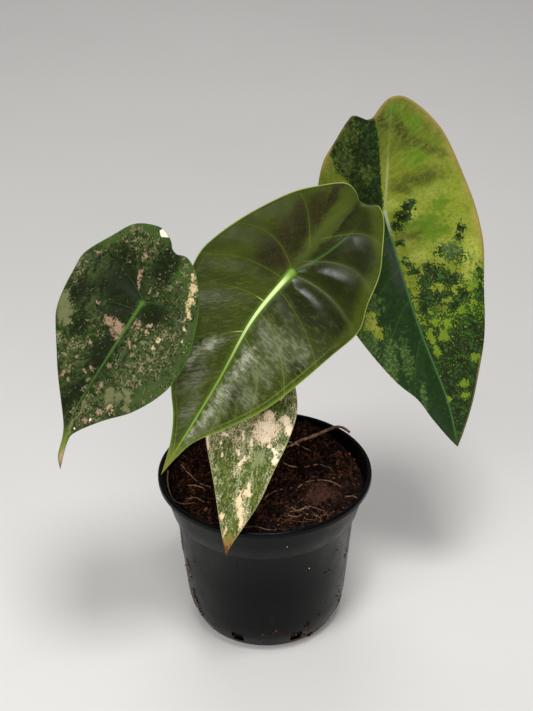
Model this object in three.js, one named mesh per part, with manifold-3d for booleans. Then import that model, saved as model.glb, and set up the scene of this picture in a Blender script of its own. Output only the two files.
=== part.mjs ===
// A young variegated alocasia in a round black nursery pot. Four shield leaves hang from stalks
// that rise from one short crown, and the crown stands in the coir that fills the pot.
// Millimetres, +Z up. The origin is the middle of the pot's flat foot, and the front is -Y.

import * as THREE from "three";
import { mergeVertices } from "three/addons/utils/BufferGeometryUtils.js";
import Module from "manifold-3d";

const wasm = await Module();
wasm.setup();

// Driving dimensions of the pot
const seatGap = 0.3;
const potHeight = 97;
const rimRadius = 60;
const lipHeight = 3.5;
const lipWidth = 2.6;
const lipRound = 0.8;
const wall = 1.5;
const floorHeight = 2;
const potSides = 44;
const outerWall = [
  [36.5, 0],
  [41, 4],
  [44.3, 11],
  [46, 20],
  [50.6, 73],
  [53, 75],
  [57.8, potHeight - lipHeight],
];
const drain = { count: 8, width: 7, low: 5, high: 12.5, radius: 44, depth: 16 };

// Driving dimensions of the soil
const soilLevel = 90;
const soilRings = [9.5, 15, 20.5, 26, 31.5, 37, 42.5, 48];
const crumbHeight = 2.6;
const soilMound = { height: 2.5, radius: 26 };
const soilLump = { x: 28, y: -20, height: 3, radius: 9 };
const looseRoot = {
  radius: 1.2,
  sides: 6,
  steps: 14,
  points: [
    [12, 24, 89], [18, 28, 92], [27, 33, 95], [36, 36, 99], [43, 35, 102], [48, 31, 102],
    [49, 24, 96.5], [48, 19, 89],
  ],
};

// Driving dimensions of the crown, from its buried end to its top
const crown = { x: -8, y: 5, radius: 8.5, low: 64, top: 107, sides: 20 };
const crownProfile = [
  [0, crown.low],
  [5.2, crown.low + 1],
  [8, 70],
  [crown.radius, 76],
  [crown.radius, 93],
  [8, 99],
  [6.4, 104],
  [3.5, crown.top - 0.5],
  [0, crown.top],
];
const stalkSeat = { radius: 4.3, height: 97 };

const bladeThickness = 1;
const stalkSides = 8;
const stalkSteps = 18;

// The four leaves. Each blade lies along a line from its stalk joint to its tip and is measured in
// millimetres from the joint: towards the tip, then across to the blade's right. Both edges run from
// the notch between the lobes to the tip. The rib runs from the notch through the joint to the tip.
// The arch bows the blade out along its length, the lift raises the lobes behind the joint, and
// the folds are the slopes of the two halves. Each vein is a start, a bend and an end.
const leaves = {
  left: {
    joint: [-59, -34, 222],
    tip: [-100.6, -78, 153],
    facing: [-0.25, -0.8, 0.5],
    rib: [[-30, 1.5], [0, 0], [30, -2], [67, -5], [92, 0]],
    leftEdge: [
      [-30, 1.5], [-34, -1.5], [-37, -8], [-33.5, -20.5], [-24, -29.5], [-10.5, -38.5], [2, -39],
      [19.5, -38], [29, -34.5], [43.5, -25.5], [61.5, -14], [74, -7], [86.5, -4], [92, 0],
    ],
    rightEdge: [
      [-30, 1.5], [-28.5, 5], [-29, 11], [-23, 19], [-9, 28], [5.5, 33.5], [18.5, 35.5],
      [35.5, 32.5], [50, 23.5], [61.5, 9.5], [72, -0.5], [78, -2.5], [92, 0],
    ],
    veins: [
      [[0, 0], [-14, -4], [-28, -7]],
      [[0, 0], [-12, 6], [-24, 11]],
      [[-2, -2], [-12, -16], [-14, -31]],
      [[5, -1], [6, -20], [16, -36]],
      [[20, -1], [24, -18], [38, -27]],
      [[38, -2], [44, -14], [58, -16]],
      [[-1, 3], [-6, 18], [0, 30]],
      [[8, 0], [12, 18], [24, 33]],
      [[24, -1], [30, 14], [43, 27]],
      [[42, -2], [49, 9], [60, 9]],
    ],
    arch: 5,
    lift: 6,
    leftFold: 0.14,
    rightFold: 0.18,
    foldWidth: 5,
    quilt: 0.9,
    wave: 1.5,
    waves: 3,
    droop: 2.5,
    ribDepth: 1.6,
    along: 30,
    across: 14,
    stalk: { seat: 170, radius: [2.7, 1.7], bends: [[-18, 16, 130], [-32, 14, 165], [-48, 1, 196]] },
    colour: 0x3f5a35,
  },
  centre: {
    joint: [15.9, -5, 223.3],
    tip: [-53.3, -55, 132.2],
    facing: [0.05, -0.8, 0.55],
    rib: [[-48.5, 9], [-22, 2], [0, 0], [32, -3.8], [70, -1.3], [124.8, 0]],
    leftEdge: [
      [-48.5, 9], [-52, 4], [-52, -2.5], [-44.5, -12], [-33, -23], [-13.5, -34.5], [6, -42.5],
      [19.5, -45], [36, -41.5], [60, -32.5], [82, -21], [95, -11.5], [108, -5], [124.8, 0],
    ],
    rightEdge: [
      [-48.5, 9], [-49, 13.5], [-51.5, 19], [-46.5, 25.5], [-33.5, 33], [-22, 38.5], [-6, 41.5],
      [8, 45], [26, 40], [46, 34], [66, 27], [84, 16.5], [100.5, 5.5], [113, 1.8], [124.8, 0],
    ],
    veins: [
      [[0, 0], [-22, -5], [-46, 3]],
      [[0, 0], [-20, 8], [-46, 17]],
      [[-22, -4], [-34, -12], [-36, -20]],
      [[-2, -3], [-16, -20], [-4, -39]],
      [[6, -4], [5, -28], [19, -44]],
      [[21, -5], [20, -24], [35, -38]],
      [[40, -5], [47, -17], [73, -23]],
      [[65, -2], [73, -10], [94, -11]],
      [[-30, 12], [-39, 21], [-35, 31]],
      [[-11, 8], [-22, 25], [-13, 39]],
      [[1, 4], [-2, 27], [10, 43]],
      [[13, 2], [19, 20], [34, 36]],
      [[28, 0], [34, 16], [53, 29]],
      [[43, 0], [50, 16], [72, 21]],
      [[66, -1], [74, 9], [94, 9]],
    ],
    arch: 7,
    lift: 9,
    leftFold: 0.15,
    rightFold: 0.18,
    foldWidth: 6,
    quilt: 1.8,
    wave: 1.2,
    waves: 3.5,
    droop: 3,
    ribDepth: 2.2,
    along: 34,
    across: 16,
    stalk: { seat: 80, radius: [2.7, 2], bends: [[-6, 20, 130], [0, 22, 165], [9, 16, 199]] },
    colour: 0x66701f,
  },
  right: {
    joint: [66.2, 42, 235.2],
    tip: [109.1, 8, 104.3],
    facing: [0.1, -0.85, 0.45],
    rib: [[-49.5, 4.5], [-38, 7], [-20, 4], [0, 0], [60, -2.2], [112, 1.5], [141.8, 0]],
    leftEdge: [
      [-49.5, 4.5], [-54, -1.5], [-53, -6], [-45, -17], [-36.5, -27], [-18, -36], [12.5, -42.5],
      [30, -43.5], [53, -39], [86, -26], [103, -16], [118, -10.5], [135, -3.5], [141.8, 0],
    ],
    rightEdge: [
      [-49.5, 4.5], [-49.5, 8], [-54.5, 14], [-57, 20], [-54, 27.5], [-41.5, 36.5], [-26, 42],
      [3, 45.5], [24, 44], [42.5, 40.5], [69, 33.5], [93.5, 25], [115.5, 16], [134.5, 5], [141.8, 0],
    ],
    veins: [
      [[0, 0], [-20, -3], [-46, -4]],
      [[0, 0], [-20, 9], [-48, 17]],
      [[-22, -3], [-30, -13], [-33, -25]],
      [[-3, -2], [-8, -20], [-4, -37]],
      [[14, -1], [18, -20], [30, -41]],
      [[32, -1], [37, -18], [54, -36]],
      [[50, -2], [56, -14], [76, -28]],
      [[72, -2], [80, -10], [98, -16]],
      [[-23, 10], [-30, 22], [-36, 36]],
      [[-4, 4], [-9, 22], [-5, 41]],
      [[14, -1], [19, 16], [30, 40]],
      [[32, -1], [37, 16], [52, 35]],
      [[50, -2], [55, 12], [74, 29]],
      [[72, -2], [79, 10], [98, 21]],
    ],
    arch: 6,
    lift: 10,
    leftFold: 0.5,
    rightFold: 0.3,
    foldWidth: 3,
    quilt: 1.8,
    wave: 2,
    waves: 4,
    droop: 2,
    ribDepth: 2.2,
    along: 36,
    across: 16,
    stalk: {
      seat: -10,
      radius: [2.7, 2],
      bends: [[4, 13, 130], [13, 24, 160], [32, 38, 198], [53, 47, 221]],
    },
    colour: 0x8c9a35,
  },
  small: {
    joint: [-1.8, -8, 160],
    tip: [-20.6, -70, 91],
    facing: [0, -0.85, 0.55],
    rib: [[-16, -2], [0, 0], [30, -1], [55, -1.2], [94.7, 0]],
    leftEdge: [
      [-16, -2], [-20.5, -5.5], [-20.5, -11.5], [-15, -18], [-4.5, -23.5], [9, -26.3],
      [23, -25.5], [39, -21.5], [60, -13.2], [77, -7.2], [90, -2], [94.7, 0],
    ],
    rightEdge: [
      [-16, -2], [-21, 0.5], [-21.5, 6], [-15.5, 12.5], [1.5, 19.5], [15.5, 22.5],
      [31, 20.5], [47.5, 16.2], [65, 11.7], [80, 5.5], [88, 2], [94.7, 0],
    ],
    veins: [
      [[0, 0], [-8, -4], [-16, -8]],
      [[0, 0], [-8, 3], [-16, 5]],
      [[4, 0], [6, -12], [14, -23]],
      [[24, -1], [28, -12], [38, -20]],
      [[44, -1], [50, -8], [62, -11]],
      [[4, 0], [6, 10], [14, 20]],
      [[25, -1], [26, 8], [33, 19]],
      [[46, -1], [51, 6], [62, 11]],
    ],
    arch: 5,
    lift: 4,
    leftFold: 0.25,
    rightFold: 0.25,
    foldWidth: 3,
    quilt: 0.6,
    wave: 0.8,
    waves: 3,
    droop: 1,
    ribDepth: 1.2,
    along: 24,
    across: 12,
    stalk: { seat: -100, radius: [2.4, 1.5], bends: [[-6, 1, 120], [-4, 3.5, 140]] },
    colour: 0x7f8a5c,
  },
};
// How far from a vein the quilting reaches its full height, and the half width of the rib below.
const veinReach = 6;
const ribWidth = 3;

// The last straight stretch of a stalk before its blade, and the gap that it leaves there.
const stalkLead = 7;
const jointGap = 0.5;

// A geometry with its shared corners merged and its faces turned outwards.
function closedBody(geometry) {
  const loose = geometry.clone();
  loose.deleteAttribute("normal");
  loose.deleteAttribute("uv");
  const body = mergeVertices(loose, 1e-4);
  const corners = body.getAttribute("position");
  const index = body.index.array;
  const a = new THREE.Vector3();
  const b = new THREE.Vector3();
  const c = new THREE.Vector3();
  let volume = 0;
  for (let i = 0; i < index.length; i += 3) {
    a.fromBufferAttribute(corners, index[i]);
    b.fromBufferAttribute(corners, index[i + 1]);
    c.fromBufferAttribute(corners, index[i + 2]);
    volume += a.dot(b.cross(c));
  }
  if (volume < 0) {
    for (let i = 0; i < index.length; i += 3) {
      [index[i + 1], index[i + 2]] = [index[i + 2], index[i + 1]];
    }
  }
  return body;
}

function solidOf(geometry) {
  const body = closedBody(geometry);
  const mesh = new wasm.Mesh({
    numProp: 3,
    vertProperties: body.getAttribute("position").array,
    triVerts: new Uint32Array(body.index.array),
  });
  return new wasm.Manifold(mesh);
}

function geometryOf(solid) {
  const mesh = solid.getMesh();
  const geometry = new THREE.BufferGeometry();
  geometry.setAttribute("position", new THREE.BufferAttribute(mesh.vertProperties, 3));
  geometry.setIndex(new THREE.BufferAttribute(mesh.triVerts, 1));
  return geometry;
}

// A profile of radius and height, turned about the upright axis.
function turned(profile, sides) {
  const points = profile.map(([radius, height]) => new THREE.Vector2(radius, height));
  return new THREE.LatheGeometry(points, sides).rotateX(Math.PI / 2);
}

// A tube round a curve, whose radius changes evenly from its start to its end, with closed ends.
function taperedTube(curve, steps, sides, startRadius, endRadius) {
  const frames = curve.computeFrenetFrames(steps, false);
  const corners = [];
  const index = [];
  for (let i = 0; i <= steps; i += 1) {
    const middle = curve.getPointAt(i / steps);
    const radius = THREE.MathUtils.lerp(startRadius, endRadius, i / steps);
    for (let j = 0; j < sides; j += 1) {
      const turn = (2 * Math.PI * j) / sides;
      const corner = middle
        .clone()
        .addScaledVector(frames.normals[i], radius * Math.cos(turn))
        .addScaledVector(frames.binormals[i], radius * Math.sin(turn));
      corners.push(...corner.toArray());
    }
  }
  for (let i = 0; i < steps; i += 1) {
    for (let j = 0; j < sides; j += 1) {
      const here = i * sides + j;
      const beside = i * sides + ((j + 1) % sides);
      index.push(here, beside, here + sides);
      index.push(beside, beside + sides, here + sides);
    }
  }
  const last = steps * sides;
  for (let j = 1; j < sides - 1; j += 1) {
    index.push(0, j + 1, j);
    index.push(last, last + j, last + j + 1);
  }
  const tube = new THREE.BufferGeometry();
  tube.setAttribute("position", new THREE.Float32BufferAttribute(corners, 3));
  tube.setIndex(index);
  return tube;
}

// The pot: rolled lip, deep collar, tapered wall, drained base corner and flat foot.
const innerWall = outerWall.map(([radius, height]) => [
  radius - wall,
  Math.max(height, floorHeight),
]);

function makePot() {
  const lipLow = potHeight - lipHeight;
  const profile = [
    [0, 0],
    ...outerWall,
    [rimRadius, lipLow],
    [rimRadius, potHeight - lipRound],
    [rimRadius - lipRound, potHeight],
    [rimRadius - lipWidth + lipRound / 2, potHeight],
    [rimRadius - lipWidth, potHeight - lipRound / 2],
    ...innerWall.toReversed(),
    [0, floorHeight],
  ];
  let pot = solidOf(turned(profile, potSides));
  for (let i = 0; i < drain.count; i += 1) {
    const turn = (2 * Math.PI * (i + 0.5)) / drain.count;
    const slot = new THREE.BoxGeometry(drain.depth, drain.width, drain.high - drain.low)
      .translate(drain.radius, 0, (drain.high + drain.low) / 2)
      .rotateZ(turn);
    pot = pot.subtract(solidOf(slot));
  }
  return geometryOf(pot);
}

// Even random numbers from 0 to 1, the same on every run.
function seededRandom(seed) {
  let state = seed;
  return () => {
    state = (state * 1664525 + 1013904223) % 4294967296;
    return state / 4294967296;
  };
}

// The height of a rounded heap at a point.
function bump(x, y, form) {
  const away = Math.hypot(x - form.x, y - form.y) / form.radius;
  return form.height * Math.exp(-away * away);
}

function soilHeight(x, y) {
  const mound = bump(x, y, { x: crown.x, y: crown.y, ...soilMound });
  return soilLevel + mound + bump(x, y, soilLump);
}

// The soil: a plug that follows the pot's inner wall, with a crumbly mounded top, a plain hole for
// the crown, and a loose root that arches over its back right edge.
function makeSoil() {
  const [above, ...side] = innerWall.toReversed();
  const [below] = side;
  const share = (soilLevel - below[1]) / (above[1] - below[1]);
  const brim = THREE.MathUtils.lerp(below[0], above[0], share) - seatGap;
  const profile = [
    [0, soilLevel],
    ...soilRings.map((radius) => [radius, soilLevel]),
    [brim, soilLevel],
    ...side.map(([radius, height]) => [radius - seatGap, height]),
  ];
  const floor = floorHeight + seatGap;
  profile.at(-1)[1] = floor;
  profile.push([0, floor]);
  const plug = closedBody(turned(profile, potSides));
  const corners = plug.getAttribute("position");
  const random = seededRandom(7);
  for (let i = 0; i < corners.count; i += 1) {
    const [x, y, z] = [corners.getX(i), corners.getY(i), corners.getZ(i)];
    if (z > soilLevel - 0.01 && Math.hypot(x, y) < brim - 0.01) {
      corners.setZ(i, soilHeight(x, y) + crumbHeight * (random() - 0.5));
    }
  }
  const hole = new THREE.CylinderGeometry(
    crown.radius + seatGap,
    crown.radius + seatGap,
    2 * (soilLevel - crown.low + seatGap),
    crown.sides,
  )
    .rotateX(Math.PI / 2)
    .translate(crown.x, crown.y, soilLevel);
  const { radius, sides, steps, points } = looseRoot;
  const route = new THREE.CatmullRomCurve3(points.map((point) => new THREE.Vector3(...point)));
  const root = taperedTube(route, steps, sides, radius, 0.7 * radius);
  return geometryOf(solidOf(plug).add(solidOf(root)).subtract(solidOf(hole)));
}

// A blade: its own frame, its outline, and the height of its upper face above the frame's plane.
function bladeFrame(leaf) {
  const joint = new THREE.Vector3(...leaf.joint);
  const along = new THREE.Vector3(...leaf.tip).sub(joint);
  const length = along.length();
  along.normalize();
  const up = new THREE.Vector3(...leaf.facing);
  up.addScaledVector(along, -up.dot(along)).normalize();
  const across = new THREE.Vector3().crossVectors(along, up).negate();
  const frame = new THREE.Matrix4().makeBasis(along, across, up).setPosition(joint);
  return { frame, length, up };
}

function smoothLine(points) {
  return new THREE.SplineCurve(points.map(([s, t]) => new THREE.Vector2(s, t)));
}

function ribOffset(ribPoints, s) {
  const last = ribPoints.length - 1;
  let i = 1;
  while (i < last && ribPoints[i].x < s) {
    i += 1;
  }
  const [a, b] = [ribPoints[i - 1], ribPoints[i]];
  const share = THREE.MathUtils.clamp((s - a.x) / (b.x - a.x), 0, 1);
  return THREE.MathUtils.lerp(a.y, b.y, share);
}

function veinLine([start, bend, end]) {
  const curve = new THREE.QuadraticBezierCurve(
    new THREE.Vector2(...start),
    new THREE.Vector2(...bend),
    new THREE.Vector2(...end),
  );
  return curve.getPoints(12);
}

function distanceToLines(lines, point) {
  const near = new THREE.Vector2();
  let least = Infinity;
  for (const line of lines) {
    for (let i = 1; i < line.length; i += 1) {
      const piece = new THREE.Vector2().subVectors(line[i], line[i - 1]);
      const share = near.subVectors(point, line[i - 1]).dot(piece) / piece.lengthSq();
      near.copy(line[i - 1]).addScaledVector(piece, THREE.MathUtils.clamp(share, 0, 1));
      least = Math.min(least, near.distanceTo(point));
    }
  }
  return least;
}

function makeBlade(leaf) {
  const { frame, length } = bladeFrame(leaf);
  const notch = leaf.rib[0][0];
  const ribPoints = smoothLine(leaf.rib).getPoints(60);
  const edges = { left: smoothLine(leaf.leftEdge), right: smoothLine(leaf.rightEdge) };
  const lines = leaf.veins.map(veinLine);
  lines.push(ribPoints.filter((point) => point.x >= 0));

  function upperHeight(s, t, u, v) {
    const x = THREE.MathUtils.clamp(s / length, 0, 1);
    const behind = Math.min(s, 0);
    const arch =
      leaf.arch * (Math.sin(Math.PI * x) + (Math.PI * behind) / length) +
      leaf.lift * (behind / notch) ** 2;
    const q = t - ribOffset(ribPoints, s);
    const slope = q < 0 ? leaf.leftFold : leaf.rightFold;
    const fold = slope * (Math.hypot(q, leaf.foldWidth) - leaf.foldWidth);
    const reach = distanceToLines(lines, new THREE.Vector2(s, t)) / veinReach;
    const quilt = leaf.quilt * (1 - Math.exp(-reach * reach)) * (1 - v ** 4);
    const turn = 2 * Math.PI * leaf.waves * u + (v < 0 ? 0 : 2);
    const edge = leaf.wave * v * v * Math.sin(turn) * Math.sin(Math.PI * u);
    return arch + fold + quilt + edge - leaf.droop * Math.abs(v) ** 3 * Math.sin(Math.PI * u);
  }

  function ribBelow(s, t) {
    const q = t - ribOffset(ribPoints, s);
    const fade = 1 - THREE.MathUtils.smoothstep(s, 0, 0.9 * length);
    const behind = 1 - THREE.MathUtils.smoothstep(-s, 0, -0.6 * notch);
    return leaf.ribDepth * fade * behind * Math.exp(-((q / ribWidth) ** 2));
  }

  // Rows run from the rib to both edges. The first and the last row close to a point.
  const upper = [];
  const lower = [];
  function addCorner(s, t, u, v) {
    const height = upperHeight(s, t, u, v);
    upper.push(new THREE.Vector3(s, t, height));
    lower.push(new THREE.Vector3(s, t, height - bladeThickness - ribBelow(s, t)));
  }
  const rows = leaf.along;
  const columns = leaf.across;
  for (let i = 0; i <= rows; i += 1) {
    const u = i / rows;
    const s = THREE.MathUtils.lerp(notch, length, u);
    const t = ribOffset(ribPoints, s);
    const isPoint = i === 0 || i === rows;
    const firstColumn = isPoint ? columns / 2 : 0;
    const lastColumn = isPoint ? columns / 2 : columns;
    for (let j = firstColumn; j <= lastColumn; j += 1) {
      const v = (2 * j) / columns - 1;
      const edge = (v < 0 ? edges.left : edges.right).getPointAt(u);
      const share = Math.abs(v);
      addCorner(THREE.MathUtils.lerp(s, edge.x, share), THREE.MathUtils.lerp(t, edge.y, share), u, v);
    }
  }
  const count = upper.length;
  function cornerAt(i, j) {
    if (i === 0) {
      return 0;
    }
    return i === rows ? count - 1 : 1 + (i - 1) * (columns + 1) + j;
  }
  const index = [];
  function addFace(a, b, c) {
    if (a !== b && b !== c && a !== c) {
      index.push(a, b, c);
      index.push(count + a, count + c, count + b);
    }
  }
  for (let i = 0; i < rows; i += 1) {
    for (let j = 0; j < columns; j += 1) {
      const [a, b] = [cornerAt(i, j), cornerAt(i, j + 1)];
      const [c, d] = [cornerAt(i + 1, j), cornerAt(i + 1, j + 1)];
      addFace(a, c, b);
      addFace(b, c, d);
    }
  }
  const rim = [];
  for (let i = 0; i <= rows; i += 1) {
    rim.push(cornerAt(i, columns));
  }
  for (let i = rows - 1; i > 0; i -= 1) {
    rim.push(cornerAt(i, 0));
  }
  rim.forEach((here, k) => {
    const next = rim[(k + 1) % rim.length];
    index.push(here, next, count + here);
    index.push(next, count + next, count + here);
  });
  const corners = [...upper, ...lower].flatMap((corner) => corner.applyMatrix4(frame).toArray());
  const blade = new THREE.BufferGeometry();
  blade.setAttribute("position", new THREE.Float32BufferAttribute(corners, 3));
  blade.setIndex(index);
  return closedBody(blade);
}

// A leaf stalk: from its seat in the crown, round behind the blades, to the back of its blade.
function stalkCurve(leaf, deeper) {
  const { up } = bladeFrame(leaf);
  const turn = THREE.MathUtils.degToRad(leaf.stalk.seat);
  const seat = new THREE.Vector3(
    crown.x + stalkSeat.radius * Math.cos(turn),
    crown.y + stalkSeat.radius * Math.sin(turn),
    stalkSeat.height - deeper,
  );
  const back = bladeThickness + leaf.ribDepth + jointGap;
  const end = new THREE.Vector3(...leaf.joint).addScaledVector(up, -back);
  const lead = end.clone().addScaledVector(up, -stalkLead);
  const bends = leaf.stalk.bends.map((bend) => new THREE.Vector3(...bend));
  return new THREE.CatmullRomCurve3([seat, ...bends, lead, end], false, "centripetal");
}

function makeStalk(leaf, extra = 0) {
  const [low, high] = leaf.stalk.radius;
  return taperedTube(stalkCurve(leaf, extra), stalkSteps, stalkSides, low + extra, high + extra);
}

// The crown: a short corm top, with a plain socket for each stalk.
function makeCrown() {
  let body = solidOf(turned(crownProfile, crown.sides).translate(crown.x, crown.y, 0));
  for (const leaf of Object.values(leaves)) {
    body = body.subtract(solidOf(makeStalk(leaf, seatGap)));
  }
  return geometryOf(body);
}

const plant = new THREE.Group();
plant.name = "potted_alocasia";

function addPiece(name, geometry, colour, roughness) {
  const material = new THREE.MeshStandardMaterial({ color: colour, roughness, metalness: 0 });
  const mesh = new THREE.Mesh(geometry, material);
  mesh.name = name;
  plant.add(mesh);
}

addPiece("pot", makePot(), 0x101012, 0.35);
addPiece("soil", makeSoil(), 0x3a2318, 0.95);
addPiece("crown", makeCrown(), 0x5d6b35, 0.6);
for (const [side, leaf] of Object.entries(leaves)) {
  addPiece(`stalk_${side}`, makeStalk(leaf), 0x66803a, 0.5);
  addPiece(`blade_${side}`, makeBlade(leaf), leaf.colour, 0.4);
}

export default plant;
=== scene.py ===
# A young variegated alocasia in a black nursery pot: its looks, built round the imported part.
# The frame is the part's own, +Z up, with the middle of the pot's foot as the origin and the front
# towards -Y. Sizes are written in millimetres and turned to metres where a mesh is made.

import math
import random
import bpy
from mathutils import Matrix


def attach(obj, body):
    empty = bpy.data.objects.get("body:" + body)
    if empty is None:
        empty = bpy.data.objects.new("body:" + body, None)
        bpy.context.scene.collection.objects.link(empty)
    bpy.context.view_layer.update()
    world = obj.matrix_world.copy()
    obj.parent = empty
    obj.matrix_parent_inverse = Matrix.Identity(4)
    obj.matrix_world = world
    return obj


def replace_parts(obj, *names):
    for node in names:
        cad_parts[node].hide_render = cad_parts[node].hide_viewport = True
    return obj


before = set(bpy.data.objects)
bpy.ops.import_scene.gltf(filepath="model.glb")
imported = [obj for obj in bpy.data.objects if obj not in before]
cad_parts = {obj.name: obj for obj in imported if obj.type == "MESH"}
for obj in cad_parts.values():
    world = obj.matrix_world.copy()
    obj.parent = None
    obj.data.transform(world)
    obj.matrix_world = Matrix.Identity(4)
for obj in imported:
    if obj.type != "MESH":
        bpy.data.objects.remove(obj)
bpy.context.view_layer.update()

from types import SimpleNamespace

import bpy
import numpy as np
from mathutils import Euler, Matrix, Vector, noise

MM = 0.001

# The pot, as the solid has it, with its rounded corners drawn finer
POT_HEIGHT = 97
RIM_RADIUS = 60
LIP_HEIGHT = 3.5
LIP_WIDTH = 2.6
LIP_ROLL = 1.2
WALL = 1.5
FLOOR_HEIGHT = 2
POT_SIDES = 176
OUTER_WALL = [
    (36.5, 0), (38.6, 0.6), (40.3, 2.2), (41.4, 4.4), (43.4, 8.4), (44.4, 11.4), (45.3, 15.5), (46, 20),
    (48.3, 46.5), (50.5, 72.4), (50.9, 73.3), (52.4, 74.5), (52.9, 75.3), (55.4, 84.5), (57.8, 93.5),
]
FOOT = [(33, 0.9), (34.6, 0.8), (35.2, 0.1), (35.6, 0)]
DRAIN = SimpleNamespace(count=8, width=7, low=5, high=12.5, radius=44, depth=16, corner=1.5)

# The soil
SOIL_LEVEL = 90
SOIL_BRIM = 55
SOIL_CELLS = 190
SOIL_SIDE = [(55, 88.8), (54.2, 84), (51, 75), (49, 72), (44.2, 20), (42.5, 11), (39.2, 4.2), (36, 2.6)]
SOIL_MOUND = SimpleNamespace(x=-8, y=5, height=2.5, radius=26)
SOIL_LUMP = SimpleNamespace(x=31, y=-18, height=4.5, radius=10)
SOIL_BACK = SimpleNamespace(x=20, y=48, height=6, radius=26)

# The grains on the soil: how many chips and crumbs there are, with half the length of the smallest
# and of the largest, and how many fibres
SOIL_CHIPS = (1100, 0.8, 2.3)
SOIL_CRUMBS = (6500, 0.3, 1)
SOIL_FIBRES = 900

# The roots that show: the thick loose one by its places, those that lie on the soil, each with its
# route and its radius, and those on the pot, with their turns in degrees, heights and radii
LOOSE_ROOT = [
    (10, 23, 93), (16, 26, 95), (21, 29.5, 95.6), (26.5, 31.5, 96.5), (31.5, 34.5, 96.8),
    (37, 36, 98.6), (42, 37.5, 99.6), (46, 36.6, 99.4), (49.6, 33.6, 98.2),
]
SOIL_ROOTS = [
    ([(18, -13), (25, -7), (36, -7), (44, -14)], 0.35),
    ([(-55, 8), (-54.5, -6), (-51, -20), (-46, -25), (-38, -24)], 0.5),
    ([(-48, 13), (-43, 3), (-36, -7), (-30, -11)], 0.4),
    ([(-43, -8), (-38, -9), (-34, -12), (-33.5, -16)], 0.45),
    ([(-44, -20), (-38, -20), (-33, -24), (-28, -24)], 0.35),
    ([(0, -21), (5, -16), (10, -14), (17, -13)], 0.45),
    ([(14, -29), (18, -33), (22, -31), (27, -36), (30, -40)], 0.25),
    ([(12, -36), (17, -38), (22, -35), (28, -38)], 0.25),
    ([(20, -27), (24, -33), (21, -39), (27, -41)], 0.22),
    ([(44, -21), (48, -20), (51, -22)], 0.35),
    ([(-14, -48), (-6, -46), (2, -49), (8, -48)], 0.25),
    ([(10, 10), (20, 6), (30, 10), (38, 6)], 0.45),
    ([(-2, 34), (10, 30), (18, 27), (27, 21)], 0.5),
    ([(13, -34), (18, -32), (24, -30), (33, -34)], 0.25),
    ([(-30, 30), (-22, 36), (-12, 34), (-4, 40)], 0.45),
]
POT_ROOTS = [
    ([(-164.6, 64), (-165, 59), (-166.8, 54), (-167.8, 48)], 0.35),
    ([(-30, 31), (-27, 27), (-21, 19), (-18, 12), (-23, 7)], 0.3),
    ([(-157.5, 47), (-156, 43), (-155, 36), (-156, 33)], 0.3),
]

# What clings to the pot: smears of soil, each with its turn in degrees, its height, its spread in
# degrees and in height, its count of crumbs and their size, then two pale grains, and the count of
# the crumbs scattered all round
POT_DIRT = [
    (-165, 61, 0.6, 1.5, 6, 0.8), (-166.5, 54, 0.7, 2.5, 8, 0.8), (-167.5, 49, 0.7, 1, 5, 0.8),
    (-157, 45, 0.8, 1.6, 7, 1), (-155.5, 39, 0.8, 2.5, 9, 0.9), (-154, 26, 1, 1.5, 7, 1.1),
    (-149, 21, 1.2, 2, 9, 1), (-146, 15, 1.5, 2, 9, 1), (-132, 11, 3, 1.5, 6, 0.7),
    (-119, 10, 3, 1.5, 4, 0.7), (-93, 15, 3, 1.5, 5, 0.7), (-86.5, 17, 1.5, 1.2, 7, 0.9),
    (-77, 14, 2, 1.5, 6, 0.8), (-65, 9, 3, 1.5, 9, 1.2), (-59, 15.5, 1.6, 1.3, 9, 1.5),
    (-53, 4, 3, 1, 9, 1.4), (-49, 20, 1, 1, 3, 0.8), (-46.5, 50, 0.6, 0.6, 3, 0.8),
    (-21, 49, 1.2, 2.5, 7, 0.8), (-27, 25, 1.5, 4, 8, 0.7), (-20, 12, 2, 3, 8, 0.8),
    (40, 12, 8, 3, 12, 0.9), (120, 9, 8, 2, 10, 0.8), (95, 30, 3, 5, 6, 0.8), (170, 18, 5, 6, 9, 0.8),
]
POT_GRAINS = [(-78, 84), (-61.5, 60.5)]
POT_SCATTER = 150

# The crown with its rings and leaf scars, and its stalks: their seats, and how their feet and heads
# widen, each by how much and over what length
CROWN = SimpleNamespace(
    x=-8, y=5, radius=8.5, low=78, top=107, sides=64, ring_gap=0.6, scar_gap=3.6, scar_depth=0.35,
)
STALK_SEAT = SimpleNamespace(radius=4.3, height=97)
STALK_FLARE = SimpleNamespace(foot=(1.5, 13), head=(0.9, 2.5))
STALK_RINGS = 90

# The blades. The skins are thinner than the solids, which carry a safe wall.
BLADE_THICKNESS = 0.7
MARGIN_THICKNESS = 0.35
SOLID_THICKNESS = 1
VEIN_REACH = 6
OUTER_GAP = 12
RIB_WIDTH = 3
STALK_LEAD = 7
JOINT_GAP = 0.5

# How much closer a blade's points lie at its margin, and how its wrinkles slant back on its left
# half and on its right
MARGIN_CROWDING = 0.35
WRINKLE_SLANT = (0.75, 0.15)

# What the skins read off every blade besides its markings
BLADE_LINES = [
    "rib_mm", "rib_share", "costa_mm", "vein_rank", "vein_gap", "margin_mm", "blade_side", "underside",
]

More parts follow.
